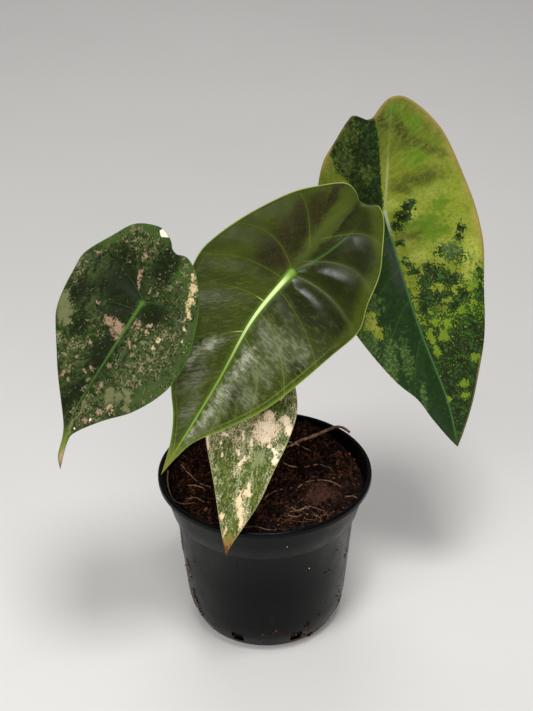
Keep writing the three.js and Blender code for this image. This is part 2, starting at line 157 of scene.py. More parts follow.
# The four leaves, as the solids have them. Each blade lies along a line from its stalk joint to its
# tip, and is measured in millimetres from the joint: towards the tip, then across to its right.
# Side veins run from the notch to the tip, and the two costae are the main veins of the lobes.
LEAVES = {
    "left": SimpleNamespace(
        joint=(-59, -34, 222),
        tip=(-100.6, -78, 153),
        facing=(-0.25, -0.8, 0.5),
        rib=[(-30, 1.5), (0, 0), (30, -2), (67, -5), (92, 0)],
        left_edge=[
            (-30, 1.5), (-34, -1.5), (-37, -8), (-33.5, -20.5), (-24, -29.5), (-10.5, -38.5), (2, -39),
            (19.5, -38), (29, -34.5), (43.5, -25.5), (61.5, -14), (74, -7), (86.5, -4), (92, 0),
        ],
        right_edge=[
            (-30, 1.5), (-28.5, 5), (-29, 11), (-23, 19), (-9, 28), (5.5, 33.5), (18.5, 35.5), (35.5, 32.5),
            (50, 23.5), (61.5, 9.5), (72, -0.5), (78, -2.5), (92, 0),
        ],
        costae=[[(0, 0), (-14, -4), (-28, -7)], [(0, 0), (-12, 6), (-24, 11)]],
        left_veins=[
            [(-2, -2), (-12, -16), (-14, -31)],
            [(5, -1), (6, -20), (16, -36)],
            [(20, -1), (24, -18), (38, -27)],
            [(38, -2), (44, -14), (58, -16)],
        ],
        right_veins=[
            [(-1, 3), (-6, 18), (0, 30)],
            [(8, 0), (12, 18), (24, 33)],
            [(24, -1), (30, 14), (43, 27)],
            [(42, -2), (49, 9), (60, 9)],
        ],
        arch=5, lift=6, left_fold=0.14, right_fold=0.18, fold_width=5,
        quilt=0.9, wave=1.5, waves=3, droop=2.5, rib_depth=1.6,
        bulge=(0.3, 0.3), crease=0.1, ripple=(0.2, 0.06), rib_line=(0.9, 0.35),
        along=160, across=110,
        seat=170, stalk_radius=(2.7, 1.7), bends=[(-18, 16, 130), (-32, 14, 165), (-48, 1, 196)],
    ),
    "centre": SimpleNamespace(
        joint=(15.9, -5, 223.3),
        tip=(-53.3, -55, 132.2),
        facing=(0.05, -0.8, 0.55),
        rib=[(-48.5, 9), (-22, 2), (0, 0), (32, -3.8), (70, -1.3), (124.8, 0)],
        left_edge=[
            (-48.5, 9), (-52, 4), (-52, -2.5), (-44.5, -12), (-33, -23), (-13.5, -34.5), (6, -42.5),
            (19.5, -45), (36, -41.5), (60, -32.5), (82, -21), (95, -11.5), (108, -5), (124.8, 0),
        ],
        right_edge=[
            (-48.5, 9), (-49, 13.5), (-51.5, 19), (-46.5, 25.5), (-33.5, 33), (-22, 38.5), (-6, 41.5),
            (8, 45), (26, 40), (46, 34), (66, 27), (84, 16.5), (100.5, 5.5), (113, 1.8), (124.8, 0),
        ],
        costae=[[(0, 0), (-22, -5), (-46, 3)], [(0, 0), (-14, 11), (-38, 15.5)]],
        left_veins=[
            [(-22, -4), (-34, -12), (-36, -20)],
            [(-2, -3), (-16, -20), (-4, -39)],
            [(6, -4), (5, -28), (19, -44)],
            [(21, -5), (20, -24), (35, -38)],
            [(40, -5), (47, -17), (73, -23)],
            [(65, -2), (73, -10), (94, -11)],
        ],
        right_veins=[
            [(-30, 12), (-39, 21), (-35, 31)],
            [(-11, 8), (-22, 25), (-13, 39)],
            [(1, 4), (-2, 27), (10, 43)],
            [(13, 2), (19, 20), (34, 36)],
            [(28, 0), (34, 16), (53, 29)],
            [(43, 0), (50, 16), (72, 21)],
            [(66, -1), (74, 9), (94, 9)],
        ],
        arch=7, lift=9, left_fold=0.15, right_fold=0.18, fold_width=6,
        quilt=1.8, wave=1.2, waves=3.5, droop=3, rib_depth=2.2,
        bulge=(0.1, 1.1), crease=0.08, ripple=(0.1, 0.03), rib_line=(1.5, 0.4),
        along=210, across=124,
        seat=80, stalk_radius=(2.7, 2), bends=[(-6, 20, 130), (0, 22, 165), (9, 16, 199)],
    ),
    "right": SimpleNamespace(
        joint=(66.2, 42, 235.2),
        tip=(109.1, 8, 104.3),
        facing=(0.1, -0.85, 0.45),
        rib=[(-49.5, 4.5), (-38, 7), (-20, 4), (0, 0), (60, -2.2), (112, 1.5), (141.8, 0)],
        left_edge=[
            (-49.5, 4.5), (-54, -1.5), (-53, -6), (-45, -17), (-36.5, -27), (-18, -36), (12.5, -42.5),
            (30, -43.5), (53, -39), (86, -26), (103, -16), (118, -10.5), (135, -3.5), (141.8, 0),
        ],
        right_edge=[
            (-49.5, 4.5), (-49.5, 8), (-54.5, 14), (-57, 20), (-54, 27.5), (-41.5, 36.5), (-26, 42),
            (3, 45.5), (24, 44), (42.5, 40.5), (69, 33.5), (93.5, 25), (115.5, 16), (134.5, 5), (141.8, 0),
        ],
        costae=[[(0, 0), (-20, -3), (-46, -4)], [(0, 0), (-20, 9), (-48, 17)]],
        left_veins=[
            [(-22, -3), (-30, -13), (-33, -25)],
            [(-3, -2), (-8, -20), (-4, -37)],
            [(14, -1), (18, -20), (30, -41)],
            [(32, -1), (37, -18), (54, -36)],
            [(50, -2), (56, -14), (76, -28)],
            [(72, -2), (80, -10), (98, -16)],
        ],
        right_veins=[
            [(-23, 10), (-30, 22), (-36, 36)],
            [(-4, 4), (-9, 22), (-5, 41)],
            [(14, -1), (19, 16), (30, 40)],
            [(32, -1), (37, 16), (52, 35)],
            [(50, -2), (55, 12), (74, 29)],
            [(72, -2), (79, 10), (98, 21)],
        ],
        arch=6, lift=10, left_fold=0.5, right_fold=0.3, fold_width=3,
        quilt=1.8, wave=2, waves=4, droop=2, rib_depth=2.2,
        bulge=(0.4, 1.2), crease=0.12, ripple=(0.25, 0.06), rib_line=(0.9, 0.5),
        along=220, across=124,
        seat=-10, stalk_radius=(2.7, 2),
        bends=[(4, 13, 130), (13, 24, 160), (32, 38, 198), (53, 47, 221)],
    ),
    "small": SimpleNamespace(
        joint=(-1.8, -8, 160),
        tip=(-20.6, -70, 91),
        facing=(0, -0.85, 0.55),
        rib=[(-16, -2), (0, 0), (30, -1), (55, -1.2), (94.7, 0)],
        left_edge=[
            (-16, -2), (-20.5, -5.5), (-20.5, -11.5), (-15, -18), (-4.5, -23.5), (9, -26.3), (23, -25.5),
            (39, -21.5), (60, -13.2), (77, -7.2), (90, -2), (94.7, 0),
        ],
        right_edge=[
            (-16, -2), (-21, 0.5), (-21.5, 6), (-15.5, 12.5), (1.5, 19.5), (15.5, 22.5), (31, 20.5),
            (47.5, 16.2), (65, 11.7), (80, 5.5), (88, 2), (94.7, 0),
        ],
        costae=[[(0, 0), (-8, -4), (-16, -8)], [(0, 0), (-8, 3), (-16, 5)]],
        left_veins=[
            [(4, 0), (6, -12), (14, -23)],
            [(24, -1), (28, -12), (38, -20)],
            [(44, -1), (50, -8), (62, -11)],
        ],
        right_veins=[
            [(4, 0), (6, 10), (14, 20)],
            [(25, -1), (26, 8), (33, 19)],
            [(46, -1), (51, 6), (62, 11)],
        ],
        arch=5, lift=4, left_fold=0.25, right_fold=0.25, fold_width=3,
        quilt=0.6, wave=0.8, waves=3, droop=1, rib_depth=1.2,
        bulge=(0.2, 0.2), crease=0.1, ripple=(0.18, 0.06), rib_line=(0.7, 0.35),
        along=140, across=90,
        seat=-100, stalk_radius=(2.4, 1.5), bends=[(-6, 1, 120), (-4, 3.5, 140)],
    ),
}

# The studio, in metres: the floor just under the pot, the light of the room, the soft lights with
# their places, widths and watts, and whether they show in the gloss, and the camera, with its pitch
# and roll in degrees and its lens in millimetres
FLOOR = SimpleNamespace(size=8, drop=0.0002)
ROOM_LIGHT = {"Color": "#e9ebee", "Strength": 0.22}
LIGHT_AIM = (0, 0, 0.17)
LIGHTS = [
    ("overhead_softbox", (0.07, -0.36, 1.26), 0.3, 7.6, True),
    ("left_fill", (-0.78, -1.05, 0.82), 0.75, 9, False),
    ("front_fill", (0.35, -1.35, 0.62), 0.8, 8.5, False),
    ("back_fill", (-0.2, 1.3, 1.6), 1.2, 9, False),
]
CAMERA = SimpleNamespace(place=(0.0018, -0.638, 0.544), pitch=30.35, roll=-0.75, lens=70)


def pick(obj):
    """Selects one piece alone, for the operators to work on."""
    bpy.ops.object.select_all(action="DESELECT")
    obj.select_set(True)
    bpy.context.view_layer.objects.active = obj


def edit(obj, mode="VERT"):
    """Opens one piece in edit mode, with all of it selected."""
    pick(obj)
    bpy.ops.object.mode_set(mode="EDIT")
    bpy.ops.mesh.select_mode(type=mode)
    bpy.ops.mesh.select_all(action="SELECT")


def leave_edit():
    bpy.ops.object.mode_set(mode="OBJECT")


def added(name):
    """The object that an operator has just added, named, with its place moved into its mesh."""
    obj = bpy.context.object
    obj.name = name
    obj.data.name = name
    bpy.ops.object.transform_apply(location=True, rotation=True, scale=True)
    return obj


def modify(obj, kind, **settings):
    """Shapes the picked piece with a modifier, and applies it."""
    modifier = obj.modifiers.new(kind.lower(), kind)
    for name, value in settings.items():
        setattr(modifier, name, value)
    bpy.ops.object.modifier_apply(modifier=modifier.name)


def places_of(mesh):
    """Where a new mesh has its vertices."""
    found = np.zeros(len(mesh.vertices) * 3)
    mesh.vertices.foreach_get("co", found)
    return found.reshape(-1, 3)


def keep_attribute(mesh, name, values):
    """Stores a number or a vector for each vertex, for the materials to read."""
    values = np.asarray(values, np.float32)
    kind, field = ("FLOAT", "value") if values.ndim == 1 else ("FLOAT_VECTOR", "vector")
    attribute = mesh.attributes.new(name, kind, "POINT")
    attribute.data.foreach_set(field, values.ravel())


def finish_piece(obj, material, slot, *nodes, smooth=40):
    """Gives a piece its material, shading and body, and hides the solids that it stands for. Its slot is not
    used.
    """
    pick(obj)
    bpy.ops.object.shade_smooth_by_angle(angle=math.radians(smooth))
    obj.data.materials.clear()
    obj.data.materials.append(material)
    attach(obj, "root")
    if nodes:
        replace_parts(obj, *nodes)
    return obj


# Lines on a blade

def stretch_of(a, b, start, end, steps):
    """A stretch of a smooth line from a to just before b, with the slopes at its two ends."""
    w = (np.arange(steps) / steps)[:, None]
    cubic = (2 * a - 2 * b + start + end) * w**3
    return cubic + (3 * b - 3 * a - 2 * start - end) * w**2 + start * w + a


def smooth_line(points, steps=24):
    """A smooth line through points, each stretch leaning on its two neighbours."""
    points = np.array(points, float)
    padded = np.vstack([points[0], points, points[-1]])
    stretches = [
        stretch_of(a, b, (b - before) / 2, (after - a) / 2, steps)
        for before, a, b, after in zip(padded, padded[1:], padded[2:], padded[3:])
    ]
    return np.vstack([*stretches, points[-1:]])


def bent_line(points, steps=12):
    """A line that leaves its first point towards the second, and bends to reach the third."""
    a, b, c = (np.array(point, float) for point in points)
    w = np.linspace(0, 1, steps + 1)[:, None]
    return (1 - w)**2 * a + 2 * w * (1 - w) * b + w**2 * c


def at_share(line, share):
    """The points that lie at these shares of a line's length."""
    gone = np.concatenate([[0], np.cumsum(np.linalg.norm(np.diff(line, axis=0), axis=1))])
    return np.stack([np.interp(share * gone[-1], gone, axis) for axis in line.T], -1)


def distance_to(line, s, t):
    """How far points are from a line, and the side of it on which they lie, as 1 or -1."""
    place = np.stack([s, t], -1)
    least = np.full(s.shape, np.inf)
    side = np.ones(s.shape)
    for a, b in zip(line, line[1:]):
        run = b - a
        share = np.clip((place - a) @ run / run.dot(run), 0, 1)
        off = place - a - share[..., None] * run
        away = np.hypot(off[..., 0], off[..., 1])
        turn = run[0] * (place - a)[..., 1] - run[1] * (place - a)[..., 0]
        side = np.where(away < least, np.where(turn < 0, -1, 1), side)
        least = np.minimum(least, away)
    return least, side


def stretched(line, before, after):
    """A line carried straight on past both its ends."""
    start = line[0] - (line[1] - line[0]) / np.linalg.norm(line[1] - line[0]) * before
    end = line[-1] + (line[-1] - line[-2]) / np.linalg.norm(line[-1] - line[-2]) * after
    return np.vstack([start, line, end])


def ridge(away, height, width):
    """A rounded ridge this high on its line, that dies away over this width."""
    return height * np.exp(-(away / width)**2)


def smoothstep(x, low, high):
    """The way of x from low to high, as a soft step from 0 to 1."""
    x = np.clip((x - low) / (high - low), 0, 1)
    return x * x * (3 - 2 * x)


def swells(x, y, size, layer):
    """Soft swells over places, about this many millimetres wide. Each layer has its own."""
    return np.array([noise.noise((a / size, b / size, layer)) for a, b in zip(x, y)])


def patches(p, places):
    """How far inside patches points lie: 1 at a middle, 0 on a rim, -1 far out. A patch
    is an oval with a wandering rim: its middle, its half sizes along and across the blade, and its
    turn in degrees."""
    field = np.full(p.s.shape, -1.0)
    for s0, t0, half_along, half_across, turn in places:
        c, d = math.cos(math.radians(turn)), math.sin(math.radians(turn))
        s, t = p.astray[:, 0] - s0, p.astray[:, 1] - t0
        along, across = (s * c + t * d) / half_along, (t * c - s * d) / half_across
        field = np.maximum(field, 1 - np.hypot(along, across))
    return field


# Blades

def blade_frame(leaf):
    """A blade's own axes: along to the tip, across to its right, and up out of its upper face."""
    joint = np.array(leaf.joint, float)
    along = np.array(leaf.tip, float) - joint
    length = np.linalg.norm(along)
    along /= length
    up = np.array(leaf.facing, float)
    up -= along * up.dot(along)
    up /= np.linalg.norm(up)
    return SimpleNamespace(joint=joint, along=along, across=-np.cross(along, up), up=up, length=length)


def vein_field(veins, s, t, side):
    """Between which side veins points lie. Gives the rank, a whole number on each vein, the gap
    between the two veins, and the place on the rib that the points' own fine vein leaves from."""
    signed = []
    for vein in veins:
        away, turn = distance_to(stretched(bent_line(vein), 30, 40), s, t)
        signed.append(-side * away * turn)
    signed = np.array(signed)
    starts = np.array([vein[0][0] for vein in veins], float)
    below = np.clip((signed > 0).sum(0) - 1, 0, len(veins) - 2)
    a = np.take_along_axis(signed, below[None], 0)[0]
    b = -np.take_along_axis(signed, below[None] + 1, 0)[0]
    share = np.clip(a / np.maximum(a + b, 0.5), 0, 1)
    before_first, past_last = signed[0] < 0, signed[-1] > 0
    last = len(veins) - 1
    rank = below + share
    rank = np.where(before_first, np.maximum(signed[0] / OUTER_GAP, -0.5), rank)
    rank = np.where(past_last, last + np.minimum(signed[-1] / OUTER_GAP, 0.5), rank)
    gap = np.where(before_first | past_last, OUTER_GAP, a + b)
    root = starts[below] + (starts[below + 1] - starts[below]) * share
    root = np.where(before_first, starts[0] + signed[0], root)
    root = np.where(past_last, starts[-1] + signed[-1], root)
    return rank, gap, root


def wandering(s, t, layer):
    """How far places stray, broadly and finely, so that markings drawn there have uneven rims."""
    return 1.7 * swells(s, t, 4.5, layer) + 0.7 * swells(s, t, 1.7, layer + 3)


def blade_points(leaf, u, v):
    """All that a blade's makers and materials ask of points that lie at the share u of its way
    from the notch to the tip, and at v from -1 on its left margin to 1 on its right."""
    axes = blade_frame(leaf)
    rib = smooth_line(leaf.rib)
    notch = leaf.rib[0][0]
    rib_s = notch + (axes.length - notch) * u
    rib_t = np.interp(rib_s, rib[:, 0], rib[:, 1])
    left, right = (at_share(smooth_line(edge), u) for edge in (leaf.left_edge, leaf.right_edge))
    edge = np.where((v < 0)[:, None], left, right)
    share = np.abs(v)
    s = rib_s + (edge[:, 0] - rib_s) * share
    t = rib_t + (edge[:, 1] - rib_t) * share
    margin = (1 - share) * np.hypot(edge[:, 0] - rib_s, edge[:, 1] - rib_t)
    q = t - np.interp(s, rib[:, 0], rib[:, 1])

    reach = distance_to(rib[rib[:, 0] >= 0], s, t)[0]
    for vein in leaf.costae + leaf.left_veins + leaf.right_veins:
        reach = np.minimum(reach, distance_to(bent_line(vein), s, t)[0])

    sides = [vein_field(leaf.left_veins, s, t, -1), vein_field(leaf.right_veins, s, t, 1)]
    rank, gap, root = (np.where(v < 0, a, b) for a, b in zip(*sides))
    costae = []
    for side, line in zip((-1, 1), leaf.costae):
        away, turn = distance_to(stretched(bent_line(line), 60, 30), s, t)
        costae.append(side * away * turn)
    costa = np.where(v < 0, *costae)
    wide, narrow = leaf.rib_line
    line = narrow + (wide - narrow) * np.exp(-np.maximum(s, 0) / 38)
    astray = np.stack([s + wandering(s, t, 6), t + wandering(s, t, 20)], -1)
    return SimpleNamespace(
        s=s, t=t, u=u, v=v, q=q, reach=reach, margin=margin, rank=rank, gap=gap, root=root,
        off_vein=np.abs(rank - np.round(rank)) * gap,
        costa=costa, line=line, astray=astray, axes=axes, notch=notch,
    )


def blade_height(leaf, p):
    """The height of a blade's upper face: the arch, the fold at the rib, the quilting between the
    veins and the waved margin of the solid, with the fine creases that only show close up."""
    x = np.clip(p.s / p.axes.length, 0, 1)
    behind = np.minimum(p.s, 0)
    arch = leaf.arch * (np.sin(np.pi * x) + np.pi * behind / p.axes.length)
    lift = leaf.lift * (behind / p.notch)**2
    slope = np.where(p.q < 0, leaf.left_fold, leaf.right_fold)
    fold = slope * (np.hypot(p.q, leaf.fold_width) - leaf.fold_width)
    quilt = leaf.quilt * (1 - np.exp(-(p.reach / VEIN_REACH)**2)) * (1 - p.v**4)
    turn = 2 * np.pi * leaf.waves * p.u + np.where(p.v < 0, 0, 2)
    wave = leaf.wave * p.v**2 * np.sin(turn) * np.sin(np.pi * p.u)
    droop = leaf.droop * np.abs(p.v)**3 * np.sin(np.pi * p.u)
    height = arch + lift + fold + quilt + wave - droop

    share = p.rank - np.floor(p.rank)
    crest = share * (1.9 - 0.9 * share)
    bulge = np.where(p.v < 0, *leaf.bulge) * 4 * crest * (1 - crest) * (1 - np.abs(p.v)**3)
    inner = smoothstep(p.margin, 0, 12)
    bulge *= smoothstep(np.abs(p.q), 2, 13) * inner * (1 - 0.7 * smoothstep(p.s, 6, 22))
    off_rib = smoothstep(np.abs(p.q), 1, 5)
    crease = ridge(p.off_vein, leaf.crease, 1.4) * (1 - np.abs(p.v)) * off_rib
    groove = ridge(p.q, 0.35, 2.6) * smoothstep(p.s, 0, 20)
    rib_ridge = ridge(p.q, 0.55 * p.line, p.line) * smoothstep(p.s, -3, 2)
    costa_ridge = ridge(p.costa, 0.25, 0.9) * smoothstep(-p.s, 0, 6) * inner
    height += bulge + rib_ridge + costa_ridge - groove
    rolled = ridge(p.margin, 0.25, 0.7)
    broad, small = leaf.ripple
    ripple = broad * swells(p.s, p.t, 9, 3) + small * swells(p.s, p.t, 2.6, 8)
    fine = ripple * smoothstep(p.margin, 0, 4)
    return height - crease - rolled + fine


def blade_depth(leaf, p):
    """How far the underside lies below the upper face: the blade's own thickness, thinner at the
    margin, with the midrib, the costae and the side veins standing out of it."""
    thicker = smoothstep(p.margin, 0, 3)
    thickness = MARGIN_THICKNESS + (BLADE_THICKNESS - MARGIN_THICKNESS) * thicker
    fade = 1 - smoothstep(p.s, 0, 0.9 * p.axes.length)
    behind = 1 - smoothstep(-p.s, 0, -0.6 * p.notch)
    midrib = ridge(p.q, leaf.rib_depth, RIB_WIDTH) * fade * behind
    costa = ridge(p.costa, 0.9, 1.4) * smoothstep(-p.s, -2, 2)
    side_vein = ridge(p.off_vein, 0.55, 0.8) * smoothstep(np.abs(p.q), 0, 3)
    return thickness + midrib + smoothstep(p.margin, 0, 9) * np.maximum(costa, side_vein)


def make_blade(side, leaf, markings, material, slot):
    """A blade: a grid whose rows run from margin to margin, laid on the leaf's outline and raised
    to its height, with a second skin below it for the underside."""
    bpy.ops.mesh.primitive_grid_add(x_subdivisions=leaf.along, y_subdivisions=leaf.across, size=1)
    blade = added(f"leaf_blade_{side}")
    mesh = blade.data
    flat = places_of(mesh)
    u = np.clip(flat[:, 0] + 0.5, 0, 1)
    share = np.clip(2 * flat[:, 1], -1, 1)
    v = share * (1 + MARGIN_CROWDING - MARGIN_CROWDING * np.abs(share))
    p = blade_points(leaf, u, v)
    height = blade_height(leaf, p)
    axes = p.axes

    def placed(h):
        return axes.joint + np.outer(p.s, axes.along) + np.outer(p.t, axes.across) + np.outer(h, axes.up)

    upper = placed(height) * MM
    lower = placed(height - blade_depth(leaf, p)) * MM
    mesh.vertices.foreach_set("co", upper.ravel())
    level = np.zeros_like(p.s)
    slant = np.where(p.v < 0, *WRINKLE_SLANT)
    rows = {
        "blade_mm": np.stack([p.s, p.t, level], -1),
        "grain_mm": np.stack([p.root, p.q, level], -1),
        "wrinkle_mm": np.stack([p.s - slant * np.abs(p.q), p.q, level], -1),
        "rib_mm": p.q,
        "rib_share": p.q / p.line,
        "costa_mm": p.costa,
        "vein_rank": p.rank,
        "vein_gap": p.gap,
        "margin_mm": p.margin,
        "blade_side": p.v,
    }
    rows.update(markings(p))
    for name, values in rows.items():
        keep_attribute(mesh, name, values)

    modify(blade, "SOLIDIFY", thickness=BLADE_THICKNESS * MM, offset=-1)
    count = len(upper)
    both = np.vstack([upper, lower])
    mesh.vertices.foreach_set("co", both.ravel())
    keep_attribute(mesh, "underside", np.repeat([0.0, 1.0], count))
    edit(blade)
    bpy.ops.mesh.remove_doubles(threshold=0.00002)
    bpy.ops.mesh.normals_make_consistent(inside=False)
    leave_edit()
    return finish_piece(blade, material, slot, f"blade_{side}", smooth=75)


# Markings of each leaf, painted shade and painted reflection among them, as fields that its material tears
# at the edges

def speckled_markings(p):
    cream = patches(p, [
        (-21, -10, 1.8, 1.1, 0), (-25, -10.4, 1, 0.8, 0), (-11, -7.2, 3, 1, 10), (-6, -5.4, 2.2, 0.8, 15),
        (-24, -21.4, 1.1, 1, 0), (-13, -32.6, 0.9, 1.6, 0), (-17, -34.8, 1, 0.9, 0),
        (16, -9.4, 2.2, 3.6, 0), (18, -4.4, 3.6, 2.6, -10), (15.4, -6, 1.8, 4, 0), (21, -2.6, 1.6, 1.2, 0),
        (9.4, 9.5, 1.1, 1.6, 0), (12, 3.6, 2, 1.6, 0), (13, 10, 1.1, 2, 0), (13.4, 18, 1, 2.6, 10),
        (22, 5.6, 3.6, 0.8, 32), (26, 8, 1.6, 0.7, 30), (18.2, 17.4, 0.9, 1.4, 0), (29, -13.4, 1.1, 1.1, 0),
        (38, -16.8, 1.1, 1, 0), (40, -6.6, 0.8, 2, -20), (42.8, -9, 0.8, 1.3, 0), (35.5, 0.8, 1.4, 0.9, 0),
        (48.6, -18.6, 2.2, 0.8, 15), (51.4, -14.4, 1, 1.1, 0), (9.5, -20, 0.8, 1.6, 10),
        (46.8, 1.8, 2.8, 0.9, 20), (54.4, 11.4, 1.8, 2.2, -10), (58, 7.2, 2.2, 1.3, 0),
        (65.5, 2.3, 2, 1, 30), (20, -39, 8, 0.9, 8), (43.5, 30.2, 3.4, 0.8, -35), (-5.5, 0.4, 2.8, 0.3, 0),
        (-13, -31, 0.6, 0.8, 0), (-21, 18.6, 3.2, 1.2, 22), (-16, 20.8, 3.6, 2.2, 20),
        (-10.4, 22.6, 3.8, 2.3, 15), (-4, 24.4, 3.6, 1.6, 8), (3, 27.4, 1.6, 0.9, 10),
        (9.5, 29.5, 1.2, 0.8, 10),
    ])
    white = patches(p, [
        (-36, -4.9, 1.9, 2.9, -10), (56.6, 12.8, 0.5, 0.5, 0), (63.6, 4.3, 0.7, 0.5, 0),
        (71, -1.4, 0.6, 0.5, 0),
    ])
    sage = patches(p, [
        (17, -36, 6, 3.4, 0), (22, -32.4, 5.6, 4.6, -20), (25, -29, 2.2, 3, 0), (43, 15.6, 1.6, 2.6, 0),
        (47, 8.6, 3.6, 2.6, 0), (47, 13, 2.4, 2.6, 0), (46, 18, 2.6, 2.4, 0), (51, 20, 1.6, 2.6, -30),
        (50, 9, 2.6, 2.4, 0), (35.4, 0.6, 2, 1.2, 0), (46.4, -5.6, 1.8, 1.3, 0), (57, -3, 4, 0.8, 0),
        (62, -2.6, 5, 0.8, 0), (70, -3.8, 5, 0.8, 0), (18, 11, 1.2, 2, 0),
    ])
    flecks = patches(p, [
        (30, 17, 17, 9, 0), (12, 20, 10, 8, 0), (-26, -18, 8, 12, 0), (-22, 12, 9, 5, 0),
        (34, -18, 12, 5, -20), (2, -36, 12, 3.4, 0), (-14, 8, 9, 5, 0), (56, 0, 9, 6, 0),
        (34, -30, 5, 4, 0), (14, 6, 8, 5, 0),
    ])
    # Painted shade: dark, nearly plain zones where the cupped blade lies in shadow, most of them near the
    # joint.
    shade = patches(p, [
        (-3, -14, 12, 12, 0), (-20, 3, 10, 7, 0), (30, -6, 12, 6, 0), (-16, -18, 8, 7, 0),
        (56, -9, 12, 5, -20), (8, -8, 8, 8, 0), (4, 8, 7, 8, 0), (8, -32, 8, 6, 0), (24, -22, 6, 5, 0),
    ])
    fresh = patches(p, [
        (8, 32, 26, 3.4, 5), (-22, 14, 6, 8, 25), (-34, -12, 3.4, 13, -10), (-14, 20, 9, 3, 0),
        (38, 27, 12, 4, -40), (-26, -28, 12, 4, -40),
    ])
    return {"cream": cream, "white": white, "sage": sage, "flecks": flecks, "shade": shade, "fresh": fresh}


def olive_markings(p):
    brown = patches(p, [
        (-42, -3.6, 9, 2, 4), (-32, -7, 9, 4, 8), (-22, -10, 9, 6.5, 0), (-12, -11.5, 9, 7.5, 0),
        (-3, -12, 8, 8.5, 0), (4, -14, 4.5, 6.5, 0), (-28, -13, 5, 4, 30),
    ])
    core = patches(p, [
        (-42, -3.6, 8, 1.6, 4), (-27, -9.4, 6, 4, 0), (-20, -7, 6, 3, 0), (-2, -14, 7, 5, 0),
        (-10, -8, 5, 4, 0),
    ])
    band = patches(p, [(-22, 1.2, 26, 3.6, -6), (-40, 3.5, 10, 4, 0), (-30, 5.4, 14, 1.6, -10)])
    # A silvery grey tone on the lower blade: partly the skin's own, partly painted reflection off its
    # wrinkles.
    silver = patches(p, [
        (37, 13, 9, 15, -25), (33, 25, 6, 8, -20), (60, 6, 12, 7, 4), (78, 5, 20, 6, 0),
        (98, 2.6, 14, 2.8, 0), (52, 14, 7, 9, -30), (60, -16, 14, 4, -14), (74, -13, 12, 6, -16),
        (88, -6, 10, 4, 0), (66, 16, 8, 6, 0),
    ])
    # Painted reflection: the bright silvery gleam beside the lower rib and on the lower left, where the
    # wrinkled gloss catches the light.
    sheen = patches(p, [
        (51, 4.4, 7, 4.4, 0), (72.5, 3.6, 7.6, 3.4, 0), (87, 2.8, 8.6, 2.6, 0), (98, 1.6, 6, 1.6, 0),
        (61, 3.6, 4, 3, 0), (54, -14.6, 6, 2, -34), (64, -19, 9, 2.4, -6),
    ])
    # Painted shade: the dark lower flanks of the bulges between the veins, which face away from the light,
    # and other shaded hollows of the blade.
    shade = patches(p, [
        (-7, 22, 5.4, 15, -14), (12, 20, 8, 17, 8), (12, 33, 5, 5, 0), (-25, 26, 7, 9, -14),
        (-36, 8, 13, 3, -8), (70, -13, 6, 4.6, 0), (57, -20, 3.4, 2.4, 0), (40, 28, 6, 4, 30),
        (-20, 12, 14, 4, -14), (70, 10, 6, 3, 0),
    ])
    return {"brown": brown, "core": core, "band": band, "silver": silver, "sheen": sheen, "shade": shade}


